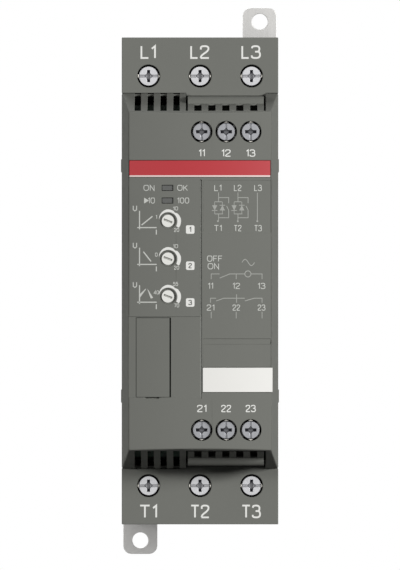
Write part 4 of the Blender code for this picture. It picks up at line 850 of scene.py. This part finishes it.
class Dresser:
    """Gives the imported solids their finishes, on copies with eased edges where they show."""

    def __init__(self, frame: Mapping[str, object], shelf: FinishShelf) -> None:
        """Keep the frame, and note which body and slot each node has."""
        self.nodes: Mapping[str, Object] = frame["nodes"]
        self.shelf = shelf
        record = frame["record"]
        bodies = record.get("behaviour", {}).get("bodies", {"root": list(self.nodes)})
        self.body = {node: body for body, members in bodies.items() for node in members}
        self.slot = {part["node"]: part["material_slot"] for part in record["subparts"]}

    def coat(self, node: str, finish: str) -> None:
        """Give a solid that keeps its own mesh a finish."""
        item = self.nodes[node]
        item.data.materials.clear()
        item.data.materials.append(self.shelf.get(finish))
        LOG.info("%s is finished in %s", node, finish)

    def ease(self, node: str, finish: str, radius: float, segments: int = 2, angle: float = 32.0,
             apart: float = 0.001 * MM) -> Object:
        """Replace a solid by its copy with eased edges.

        The copy's triangles are merged, each edge that turns more than the angle gets a small
        round, and the normals follow the large faces beside it.

        Args:
            node: The solid.
            finish: Its finish.
            radius: Radius of the rounds in metres.
            segments: Faces across each round.
            angle: The least turn in degrees that counts as an edge.
            apart: Distance under which the triangles' corners are one.

        Returns:
            The finished copy.
        """
        work = bmesh.new()
        work.from_mesh(self.nodes[node].data)
        bmesh.ops.remove_doubles(work, verts=work.verts, dist=apart)
        mesh = bpy.data.meshes.new(f"{node}_finished")
        work.to_mesh(mesh)
        work.free()
        mesh.shade_smooth()
        item = stand(f"{node}_finished", mesh)
        if radius > 0:
            bevel = item.modifiers.new("rounds", "BEVEL")
            bevel.width = radius
            bevel.segments = segments
            bevel.limit_method = "ANGLE"
            bevel.angle_limit = math.radians(angle)
            bevel.use_clamp_overlap = False
            bevel.face_strength_mode = "FSTR_AFFECTED"
            weighted = item.modifiers.new("flat_faces", "WEIGHTED_NORMAL")
            weighted.use_face_influence = True
            weighted.keep_sharp = True
        else:
            mesh.set_sharp_from_angle(angle=math.radians(angle))
        bpy.context.view_layer.update()
        shaped = item.evaluated_get(bpy.context.evaluated_depsgraph_get())
        item.data = bpy.data.meshes.new_from_object(shaped)
        item.modifiers.clear()
        self._straighten(item.data)
        item.data.materials.clear()
        item.data.materials.append(self.shelf.get(finish))
        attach(item, self.body[node])
        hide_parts(node)
        LOG.info("%s is finished in %s with rounds of %.2f mm", node, finish, radius / MM)
        return item

    @staticmethod
    def _straighten(mesh: Mesh, least: float = 0.9999) -> None:
        """Give a face whose normal's row part is at least this its own normal at all corners."""
        counts = read(mesh.polygons, "loop_total", 1, int)[:, 0]
        faces = np.repeat(read(mesh.polygons, "normal", 3), counts, axis=0)
        straight = np.abs(faces[:, 1:2]) > least
        corners = read(mesh.corner_normals, "vector", 3)
        mesh.normals_split_custom_set(np.where(straight, faces, corners).tolist())

    def add(self, mesh: Mesh, finish: str, slot: str) -> None:
        """Add a fixed piece of the scene's own, such as print, under its mesh's name."""
        name = mesh.name
        mesh.materials.append(self.shelf.get(finish))
        item = stand(name, mesh)
        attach(item, "root")
        LOG.info("%s is added in %s", name, finish)


@dataclass
class Assembly(ABC):
    """A sub-assembly of the device.

    Attributes:
        dresser: Gives the finishes.
        panel: The crowned front, which some pieces follow.
    """

    dresser: Dresser
    panel: Panel = Panel()

    @abstractmethod
    def dress(self) -> None:
        """Finish or add its pieces."""


@dataclass
class Casing(Assembly):
    """The plastic casing: two housings, the raised cover, terminal blocks and inserts.

    Attributes:
        round_edge: Radius of the small rounds on its edges.
        fine_edge: Radius on finely detailed pieces.
    """

    round_edge: float = 0.2 * MM
    fine_edge: float = 0.08 * MM

    def dress(self) -> None:
        """Finish the casing's pieces."""
        self.dresser.ease("rear_housing", "rear_plastic", self.round_edge)
        for node in ("main_housing", "line_terminal_block", "motor_terminal_block"):
            self.dresser.ease(node, "housing_plastic", self.round_edge)
        for node, finish in (("front_cover", "cover_plastic"), ("port_cover", "housing_plastic")):
            self.panel.shade(self.dresser.ease(node, finish, self.fine_edge))
        # The modules' darker plastic is painted shade.
        for node in ("upper_control_module", "lower_control_module"):
            self.dresser.ease(node, "insert_plastic_painted_shade", self.fine_edge)


@dataclass
class SeamLips(Assembly):
    """Thin lips inside the casing's seams, which keep light from passing through them.

    Attributes:
        side: Distance of the lips' outer faces from the middle, behind the casing's sides.
        end: Height of their outer faces, behind its top and bottom.
        reach: How far a lip reaches inward.
        thickness: Its thickness, inside a seam of 0.3 mm.
        seams: Each seam's row coordinate and the heights that its lips run between.
    """

    side: float = 22.1 * MM
    end: float = 69.6 * MM
    reach: float = 1.0 * MM
    thickness: float = 0.2 * MM
    seams: tuple[Triple, ...] = (
        (-44.35 * MM, -69.6 * MM, 69.6 * MM), (-68.05 * MM, 54.6 * MM, 69.6 * MM),
        (-68.05 * MM, -69.6 * MM, -54.6 * MM), (-92.65 * MM, -53.4 * MM, 53.4 * MM))

    def dress(self) -> None:
        """Lay a lip along both sides of each seam, and along the long seam's top and bottom.

        A lip's corners are its lowest corner plus its spans times each of the eight triples of
        0 and 1, so corner number 4x + 2y + z lies at (x, y, z).
        """
        inner, low_end = self.side - self.reach, self.end - self.reach
        spans = [(low, high, row, foot, head) for row, foot, head in self.seams
                 for low, high in ((-self.side, -inner), (inner, self.side))]
        spans += [(-inner, inner, self.seams[0][0], low, high)
                  for low, high in ((-self.end, -low_end), (low_end, self.end))]
        left, right, row, foot, head = np.array(spans).T
        lowest = np.column_stack([left, row - self.thickness / 2, foot])
        highest = np.column_stack([right, row + self.thickness / 2, head])
        unit = np.array(list(itertools.product((0, 1), repeat=3)))
        corners = lowest[:, None] + unit * (highest - lowest)[:, None]
        sides = np.array([(0, 1, 3, 2), (4, 6, 7, 5), (0, 4, 5, 1), (2, 3, 7, 6), (0, 2, 6, 4),
                          (1, 5, 7, 3)])
        faces = sides + len(unit) * np.arange(len(spans))[:, None, None]
        mesh = bpy.data.meshes.new("seam_lips")
        mesh.from_pydata(corners.reshape(-1, 3).tolist(), [], faces.reshape(-1, 4).tolist())
        self.dresser.add(mesh, "housing_plastic", "grey_housing")


@dataclass
class Terminals(Assembly):
    """The screw terminals: screws, cages and contact strips.

    Attributes:
        count: Terminals of each kind.
        edge: Radius on the metal's edges.
        screws: Both kinds of terminal, with the finish of their screws.
        others: A terminal's other pieces, with their finish.
    """

    count: int = 6
    edge: float = 0.06 * MM
    screws: tuple[tuple[str, str], ...] = (("power", "bright_screw"), ("control", "dull_screw"))
    others: tuple[tuple[str, str], ...] = (("cage", "cage_zinc"), ("contact", "tinned_copper"))

    def dress(self) -> None:
        """Finish each terminal's three pieces."""
        for kind, screw in self.screws:
            for number in range(1, self.count + 1):
                for piece, finish in (("screw", screw), *self.others):
                    self.dresser.ease(f"{kind}_{piece}_{number}", finish, self.edge)


@dataclass
class Back(Assembly):
    """The mounting plate, rail clip with its spring, and heat sink.

    Attributes:
        sheet_edge: Radius of the sheet metal's edges.
        clip_travel: How far the clip slides down. Not used.
    """

    sheet_edge: float = 0.15 * MM
    clip_travel: float = 3.6 * MM

    def dress(self) -> None:
        """Finish the metal at the back, and give the spring a mesh of its own."""
        for node, finish in (("mounting_plate", "zinc_sheet"), ("rail_clip", "spring_wire"),
                             ("heat_sink", "cast_aluminium")):
            self.dresser.ease(node, finish, self.sheet_edge)
        spring = self.dresser.ease("clip_spring", "spring_wire", 0.0)
        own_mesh(spring)


@dataclass
class Inside(Assembly):
    """The boards and semiconductors, which show only through the slots."""

    def dress(self) -> None:
        """Finish the inner pieces on their own solids."""
        for node, finish in (("control_board", "solder_mask"), ("power_board", "solder_mask"),
                             ("thyristor_module_1", "black_compound"),
                             ("thyristor_module_2", "black_compound")):
            self.dresser.coat(node, finish)


@dataclass
class Controls(Assembly):
    """The strip, dials, light windows and marker plate on the front.

    Attributes:
        fine_edge: Radius on the strip and the windows.
        plate_edge: Radius on the marker plate.
        knob_edge: Radius on the dials.
        dials: How many dials there are.
    """

    fine_edge: float = 0.05 * MM
    plate_edge: float = 0.1 * MM
    knob_edge: float = 0.08 * MM
    dials: int = 3

    def dress(self) -> None:
        """Finish what is set into the front."""
        self.panel.shade(self.dresser.ease("front_strip", "strip_lacquer", self.fine_edge))
        self.panel.shade(self.dresser.ease("marker_plate", "white_plastic", self.plate_edge))
        for number in range(1, self.dials + 1):
            self.dresser.ease(f"setting_dial_{number}", "knob_plastic", self.knob_edge)
        for node in ("ready_light_guide", "run_light_guide"):
            self.dresser.ease(node, "smoke_window", self.fine_edge)


@dataclass
class TerminalMarks(Assembly):
    """The numbers and phase marks beside the terminals. All but the face is in millimetres.

    Attributes:
        power_face: Row coordinate of the power terminals' face in metres.
        power_xs: Middle of each power mark.
        power_rows: Letter and height of both rows of power marks.
        power_size: Height, width and pen of a power mark.
        control_xs: Middle of each control mark.
        control_rows: First number and height of both rows of control marks.
        control_size: Height, width and pen of a control mark.
    """

    power_face: float = -92.5 * MM
    power_xs: Numbers = (-14.9, 0.0, 14.7)
    power_rows: tuple[tuple[str, float], ...] = (("L", 65.8), ("T", -66.3))
    power_size: Triple = (3.9, 5.6, 0.5)
    control_xs: Numbers = (0.5, 7.5, 14.5)
    control_rows: tuple[tuple[int, float], ...] = ((11, 36.85), (21, -36.8))
    control_size: Triple = (2.1, 2.9, 0.27)

    def dress(self) -> None:
        """Print the marks."""
        flat, crowned = Ink(lambda xs: np.full_like(xs, self.power_face)), self.panel.ink()
        for letter, height in self.power_rows:
            for number, x in enumerate(self.power_xs, 1):
                flat.words(f"{letter}{number}", (x, height), *self.power_size)
        for first, height in self.control_rows:
            for number, x in enumerate(self.control_xs, first):
                crowned.words(str(number), (x, height), *self.control_size)
        self.dresser.add(flat.mesh("power_marks"), "white_ink", "white_plastic")
        self.dresser.add(crowned.mesh("control_marks"), "white_ink", "white_plastic")


@dataclass
class DialPrint(Assembly):
    """Scales, numbers, badges and little graphs round the three dials, in millimetres.

    Attributes:
        centre_x: The dials' common x.
        heights: Height of each dial.
        seat: How deep the ring lies that each knob turns in, in metres.
        seat_radii: Its inner and outer radius.
        seat_points: Points round it.
        lobes: Angles, inner radii and outer radii of the two lobes of a scale.
        numbers: Each scale's three numbers.
        number_places: Where each stands, as x and height over the dial.
        number_size: Height and width of a digit, and its pen.
        badge_x: The badges' common x.
        badges: Height of each badge.
        badge_size: Side and corner radius of a badge, and height and pen of its number.
        badge_widths: Width of each badge's number.
        badge_proud: How far the numbers stand out, over their badges, in metres.
        graphs: For each graph, the height of its letter's top, its upright's top and its base line.
        letter: Line of a graph's letter, with heights from its top.
        upright: The upright's x, and how far it runs on below the base line.
        base_line: The base line, with heights from its own.
        tick: The tick under the base line's end, with heights from that line.
        slopes: The rising and the falling line.
        peaks: Both edges of the two slopes that meet.
        pens: Width of the graphs' axes, letters, ticks and slopes.
    """

    centre_x: float = -9.18
    heights: Numbers = (17.27, 6.39, -4.49)
    seat: float = 0.5 * MM
    seat_radii: Pair = (1.86, 2.28)
    seat_points: int = 49
    lobes: tuple[tuple[Numbers, ...], ...] = (
        ((168, 130, 95, 62, 50), (2.55, 2.55, 2.55, 2.6, 2.65), (2.6, 3.0, 3.35, 3.3, 3.1)),
        ((50, 38, 10, -20, -32), (2.65, 2.65, 2.7, 2.75, 2.8), (3.1, 3.5, 3.75, 3.75, 3.7)))
    numbers: tuple[tuple[str, str, str], ...] = (("1", "10", "20"), ("0", "10", "20"), ("40", "55", "70"))
    number_places: Line = ((-12.5, 1.15), (-7.0, 3.6), (-6.7, -2.6))
    number_size: Triple = (1.15, 0.75, 0.17)
    badge_x: float = -2.8
    badges: Numbers = (14.8, 4.38, -6.23)
    badge_size: tuple[float, float, float, float] = (2.45, 0.45, 1.55, 0.26)
    badge_widths: Numbers = (0.75, 1.05, 1.05)
    badge_proud: float = 0.035 * MM
    graphs: tuple[Triple, ...] = (
        (21.65, 20.2, 15.36), (10.95, 9.55, 4.75), (-0.4, -1.25, -6.15))
    letter: Line = ((-19.1, 0.0), (-19.1, -1.15), (-18.62, -1.5), (-18.14, -1.15), (-18.14, 0.0))
    upright: Pair = (-17.3, 0.5)
    base_line: Line = ((-17.95, 0.0), (-12.4, 0.0))
    tick: Line = ((-12.5, -0.6), (-12.5, -2.0))
    slopes: tuple[Line, ...] = (((-16.7, 16.1), (-13.6, 18.6)), ((-16.2, 8.4), (-14.0, 5.6)))
    peaks: tuple[tuple[Line, Line], ...] = (
        (((-17.3, -3.9), (-15.5, -2.2)), ((-17.3, -5.0), (-15.5, -2.5))),
        (((-15.0, -2.3), (-13.4, -4.9)), ((-15.0, -2.6), (-14.1, -5.1))))
    pens: tuple[float, float, float, float] = (0.32, 0.27, 0.3, 0.35)

    def dress(self) -> None:
        """Print all of it."""
        white, grey, dark = self.panel.ink(), self.panel.ink(), self.panel.ink(self.badge_proud)
        seat = self.panel.ink(recess=self.seat)
        side, corner, tall, pen = self.badge_size
        for index, height in enumerate(self.heights):
            centre = (self.centre_x, height)
            seat.ring(centre, *self.seat_radii, self.seat_points)
            for angles, inner_radii, outer_radii in self.lobes:
                white.arc_band(centre, angles, inner_radii, outer_radii)
            self._numbers(grey, height, self.numbers[index])
            badge = (self.badge_x, self.badges[index])
            white.plate(badge, (side, side), corner)
            dark.words(str(index + 1), badge, tall, self.badge_widths[index], pen)
        self._graphs(grey)
        self.dresser.add(seat.mesh("dial_seats"), "housing_plastic", "grey_housing")
        self.dresser.add(white.mesh("dial_scales"), "white_ink", "white_plastic")
        self.dresser.add(grey.mesh("dial_graphs"), "grey_ink", "white_plastic")
        self.dresser.add(dark.mesh("badge_numbers"), "dark_ink", "grey_housing")

    def _numbers(self, ink: Ink, height: float, labels: Sequence[str]) -> None:
        """The numbers at the start, the middle and the end of a scale."""
        tall, wide, pen = self.number_size
        for label, (x, rise) in zip(labels, self.number_places):
            ink.words(label, (x, height + rise), tall, wide * len(label), pen)

    def _graphs(self, ink: Ink) -> None:
        """Three graphs: a rising line, a falling line and two slopes that meet."""
        axis_pen, letter_pen, tick_pen, slope_pen = self.pens
        x, below = self.upright
        for letter, top, base in self.graphs:
            ink.stroke([(x, top), (x, base - below)], axis_pen)
            ink.stroke(np.array(self.base_line) + (0.0, base), axis_pen)
            ink.stroke(np.array(self.letter) + (0.0, letter), letter_pen)
            ink.stroke(np.array(self.tick) + (0.0, base), tick_pen)
        for slope in self.slopes:
            ink.stroke(slope, slope_pen)
        for upper, lower in self.peaks:
            ink.band(np.array(upper), np.array(lower))


@dataclass
class LightPrint(Assembly):
    """The marks beside the two signal windows, in millimetres.

    Attributes:
        marks: Each mark's text, x, height above the middle and width.
        tall: Height of the letters.
        arrow: Upper and lower edge of the arrow before the lower left mark.
    """

    marks: tuple[tuple[str, float, float, float], ...] = (
        ("ON", -14.6, 26.8, 3.2), ("OK", -5.0, 26.8, 3.0),
        ("10", -13.9, 23.15, 2.0), ("100", -4.8, 23.15, 3.4))
    tall: float = 1.7
    arrow: tuple[Line, Line] = (((-16.0, 24.0), (-14.6, 23.16)), ((-16.0, 22.3), (-14.6, 23.14)))

    def dress(self) -> None:
        """Print the marks."""
        ink = self.panel.ink()
        for text, x, height, width in self.marks:
            ink.words(text, (x, height), self.tall, width)
        ink.band(*map(np.array, self.arrow))
        self.dresser.add(ink.mesh("light_marks"), "grey_ink", "white_plastic")


@dataclass
class CircuitPrint(Assembly):
    """The circuit diagrams on the right of the front, as plain lines in millimetres.

    Attributes:
        pocket: How deep the upper diagram's field lies, in metres.
        line: Width of the lines.
        phases: x of the two switched phases.
        phase_lines: Lines of a switched phase, with x from its middle.
        stem: The line through a valve, with x from the valve's middle.
        stem_line: Width of that line.
        valve: Height, offset from the phase's middle, and half size of the two opposed valves.
        valve_bar: Half the length of the bar at a valve's point, and half the point's width.
        through: The third phase, which runs straight through.
        end_xs: x of the three phases' lower ends.
        end: Height, side and corner radius of an end.
        name_xs: x of the phases' names.
        name_rows: Letter and height of both rows of names.
        name_size: Height and width of a name.
        wave: First x, length, height above the middle and half height of the wave.
        wave_points: Points along it.
        lamp: Centre of the ring, its inner and outer radius, and points round it.
        contacts: Lines of both rows of contacts, before and after the ring.
        words: Text, x, height above the middle and width of the two words.
        number_xs: x of the contacts' numbers.
        number_rows: First number and height of both rows of numbers.
        number_width: Width of a contact's number.
        tall: Height of the words and the contacts' numbers.
    """

    pocket: float = 0.15 * MM
    line: float = 0.22
    phases: Pair = (5.3, 10.85)
    phase_lines: tuple[Line, ...] = (
        ((0, 25.5), (0, 22.8)), ((-1.1, 22.8), (1.0, 22.8)), ((-1.1, 19.3), (1.3, 19.3)),
        ((0, 19.3), (0, 17.2)), ((0, 24.0), (2.9, 24.0), (2.9, 22.4)),
        ((2.3, 21.6), (2.9, 20.4), (2.9, 18.2), (0, 18.2)))
    stem: Line = ((0.0, 22.8), (0.0, 19.3))
    stem_line: float = 0.176
    valve: Triple = (21.05, 1.1, 0.75)
    valve_bar: Pair = (0.8, 0.02)
    through: Line = ((16.4, 25.4), (16.4, 17.2))
    end_xs: Numbers = (5.1, 10.8, 16.4)
    end: Triple = (17.2, 0.55, 0.27)
    name_xs: Numbers = (5.1, 10.8, 16.6)
    name_rows: tuple[tuple[str, float], ...] = (("L", 26.8), ("T", 15.2))
    name_size: Pair = (1.8, 2.2)
    wave: tuple[float, float, float, float] = (12.0, 3.6, 5.3, 0.9)
    wave_points: int = 25
    lamp: tuple[Pair, float, float, int] = ((13.7, 2.0), 0.75, 1.0, 33)
    contacts: tuple[tuple[Line, ...], tuple[Line, ...]] = (
        (((3.2, 0.5), (3.2, 2.0), (5.6, 2.0)), ((5.6, 0.8), (8.5, 2.0), (12.8, 2.0))),
        (((14.6, 2.0), (17.75, 2.0), (17.75, 0.5)), ((10.35, 2.0), (10.35, 0.5)),
         ((3.0, -6.3), (3.0, -5.0), (4.6, -5.0)), ((4.6, -5.8), (6.8, -5.0), (12.8, -5.0)),
         ((12.8, -5.8), (15.5, -5.0), (17.75, -5.0), (17.75, -6.3)), ((10.45, -3.9), (10.45, -6.3)),
         ((3.2, -8.9), (3.2, -10.8)), ((10.35, -8.9), (10.35, -10.8)), ((17.75, -8.9), (17.75, -10.8))))
    words: tuple[tuple[str, float, float, float], ...] = (("OFF", 4.2, 6.4, 4.4), ("ON", 3.8, 4.2, 3.4))
    number_xs: Numbers = (3.0, 10.4, 17.6)
    number_rows: tuple[tuple[int, float], ...] = ((11, -1.45), (21, -7.7))
    number_width: float = 2.2
    tall: float = 1.75

    def dress(self) -> None:
        """Print the power diagram in its pocket and the control diagram below it."""
        sunk, names = self.panel.ink(recess=self.pocket), self.panel.ink(recess=self.pocket)
        for x in self.phases:
            self._switched_phase(sunk, x)
        sunk.stroke(self.through, self.line)
        height, side, corner = self.end
        for x in self.end_xs:
            sunk.plate((x, height), (side, side), corner)
        for number, x in enumerate(self.name_xs, 1):
            for letter, height in self.name_rows:
                names.words(f"{letter}{number}", (x, height), *self.name_size)
        self.dresser.add(sunk.mesh("power_diagram"), "pale_ink", "white_plastic")
        self.dresser.add(names.mesh("phase_names"), "grey_ink", "white_plastic")
        flat, marks = self.panel.ink(), self.panel.ink()
        self._control_lines(flat)
        self._control_marks(marks)
        self.dresser.add(flat.mesh("control_diagram"), "pale_ink", "white_plastic")
        self.dresser.add(marks.mesh("contact_numbers"), "grey_ink", "white_plastic")

    def _switched_phase(self, ink: Ink, x: float) -> None:
        """One phase: two opposed valves between bars, with the bypass beside them."""
        for line in self.phase_lines:
            ink.stroke(np.array(line) + (x, 0.0), self.line)
        height, offset, half = self.valve
        bar, blunt = self.valve_bar
        for side, tip in ((-1, 1), (1, -1)):
            middle = x + side * offset
            base, point = height + tip * half, height - tip * half
            ink.band(np.array([(middle - half, base), (middle - blunt, point)]),
                     np.array([(middle + half, base), (middle + blunt, point)]))
            ink.stroke([(middle - bar, point), (middle + bar, point)], self.line)
            ink.stroke(np.array(self.stem) + (middle, 0.0), self.stem_line)

    def _control_lines(self, ink: Ink) -> None:
        """A wave, which is a sine over its length, and two rows of contacts with a lamp's ring."""
        turns = np.linspace(0.0, math.tau, self.wave_points)
        start, length, height, swing = self.wave
        wave = np.column_stack([start + length * turns / math.tau, height + swing * np.sin(turns)])
        before, after = self.contacts
        for line in (wave, *before):
            ink.stroke(line, self.line)
        ink.ring(*self.lamp)
        for line in after:
            ink.stroke(line, self.line)

    def _control_marks(self, ink: Ink) -> None:
        """The words above the contacts and the numbers at their ends."""
        for text, x, height, width in self.words:
            ink.words(text, (x, height), self.tall, width)
        for first, height in self.number_rows:
            for number, x in enumerate(self.number_xs, first):
                ink.words(str(number), (x, height), self.tall, self.number_width)


@dataclass(frozen=True)
class Lamp:
    """A soft area lamp.

    Attributes:
        name: Its name.
        place: Where it stands.
        width: Its width.
        height: Its height.
        power: Its power in watts.
        target: What it looks at.
    """

    name: str
    place: Triple
    width: float
    height: float
    power: float
    target: Triple = (0.0, -60 * MM, 0.0)

    def hang(self) -> None:
        """Put the lamp into the scene, turned so that it looks at its target.

        Its tilt is the angle of the way to it from upright, and its turn that way's bearing.
        """
        data = bpy.data.lights.new(self.name, "AREA")
        data.shape = "RECTANGLE"
        data.size, data.size_y = self.width, self.height
        data.energy = self.power
        lamp = stand(self.name, data)
        lamp.location = self.place
        x, y, z = np.subtract(self.place, self.target)
        lamp.rotation_euler = (math.atan2(math.hypot(x, y), z), 0.0, math.atan2(y, x) + math.pi / 2)


@dataclass
class Studio:
    """The camera, lamps, world and floor.

    Attributes:
        distance: How far the camera stands from the front.
        tall: Height of the frame at the object's middle depth, in metres.
        aim: Height that the camera looks at.
        middle: Row coordinate of the middle depth.
        floor_height: Height of the floor.
        floor_half: Half the floor's side.
        floor_colour: Its colour.
        floor_roughness: Its roughness.
        ambient: Strength of the even light from all round.
        lamps: The lamps. The two in front are low strips, so that the cover's lower slope stays
            dark and its shadow stays short.
        sensor: Width of the camera's sensor.
    """

    distance: float = 5.15
    tall: float = 164.3 * MM
    aim: float = -1.18 * MM
    middle: float = -80 * MM
    floor_height: float = -160 * MM
    floor_half: float = 0.4
    floor_colour: Colour = (0.86, 0.86, 0.86)
    floor_roughness: float = 0.7
    ambient: float = 0.065
    lamps: tuple[Lamp, ...] = (
        Lamp("key", (1.4, -1.6, 0.4), 1.1, 0.42, 46.0),
        Lamp("fill", (-1.5, -1.55, 0.4), 1.1, 0.36, 16.5),
        Lamp("rear", (-0.3, 1.6, 1.5), 1.0, 1.0, 26.0),
    )
    sensor: float = 36.0

    def set_up(self) -> None:
        """Place all of it."""
        self._camera()
        self._world()
        for lamp in self.lamps:
            lamp.hang()
        self._floor()
        bpy.context.scene.view_settings.view_transform = "Standard"

    def _camera(self) -> None:
        """A long lens straight in front."""
        data = bpy.data.cameras.new("camera")
        data.sensor_width = self.sensor
        data.lens = self.sensor * self.distance / self.tall
        data.clip_end = 4 * self.distance
        camera = stand("camera", data)
        camera.location = (0.0, self.middle - self.distance, self.aim)
        camera.rotation_euler = (math.pi / 2, 0.0, 0.0)
        bpy.context.scene.camera = camera

    def _world(self) -> None:
        """White to the camera and in reflections, and a soft grey light on everything else."""
        world = bpy.data.worlds.new("studio")
        world.use_nodes = True
        bpy.context.scene.world = world
        graph = Graph(world.node_tree)
        path = graph.add("LightPath")
        seen = graph.math("MAXIMUM", path.outputs["Is Camera Ray"], path.outputs["Is Transmission Ray"])
        seen = graph.math("MAXIMUM", seen, path.outputs["Is Glossy Ray"])
        plain = graph.add("Background", Color=WHITE, Strength=self.ambient)
        white = graph.add("Background", Color=WHITE, Strength=1.0)
        graph.finish(seen, plain, white, "OutputWorld")

    def _floor(self) -> None:
        """A pale floor well below the object, which hangs on its wall or rail.

        Its underside is clear, so that the object can be seen from below.
        """
        mesh = bpy.data.meshes.new("floor")
        corners = [(x * self.floor_half, y * self.floor_half, self.floor_height)
                   for x, y in ((-1, -1), (1, -1), (1, 1), (-1, 1))]
        mesh.from_pydata(corners, [], [(0, 1, 2, 3)])
        floor = stand("floor", mesh)
        material = bpy.data.materials.new("floor")
        material.use_nodes = True
        graph = Graph(material.node_tree)
        pale = graph.add("BsdfPrincipled", Base_Color=(*self.floor_colour, 1.0),
                         Roughness=self.floor_roughness)
        underside = graph.add("NewGeometry").outputs["Backfacing"]
        graph.finish(underside, pale, graph.add("BsdfTransparent"), "OutputMaterial")
        mesh.materials.append(material)
        floor.visible_diffuse = False


def main() -> None:
    """Load the frame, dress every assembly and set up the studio."""
    logging.basicConfig(level=logging.INFO, format="%(message)s")
    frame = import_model()
    dresser = Dresser(frame, FinishShelf())
    for assembly in (Casing, SeamLips, Terminals, Back, Inside, Controls, TerminalMarks, DialPrint,
                     LightPrint, CircuitPrint):
        assembly(dresser).dress()
        LOG.info("%s is done", assembly.__name__)
    Studio().set_up()


if __name__ == "__main__":
    main()
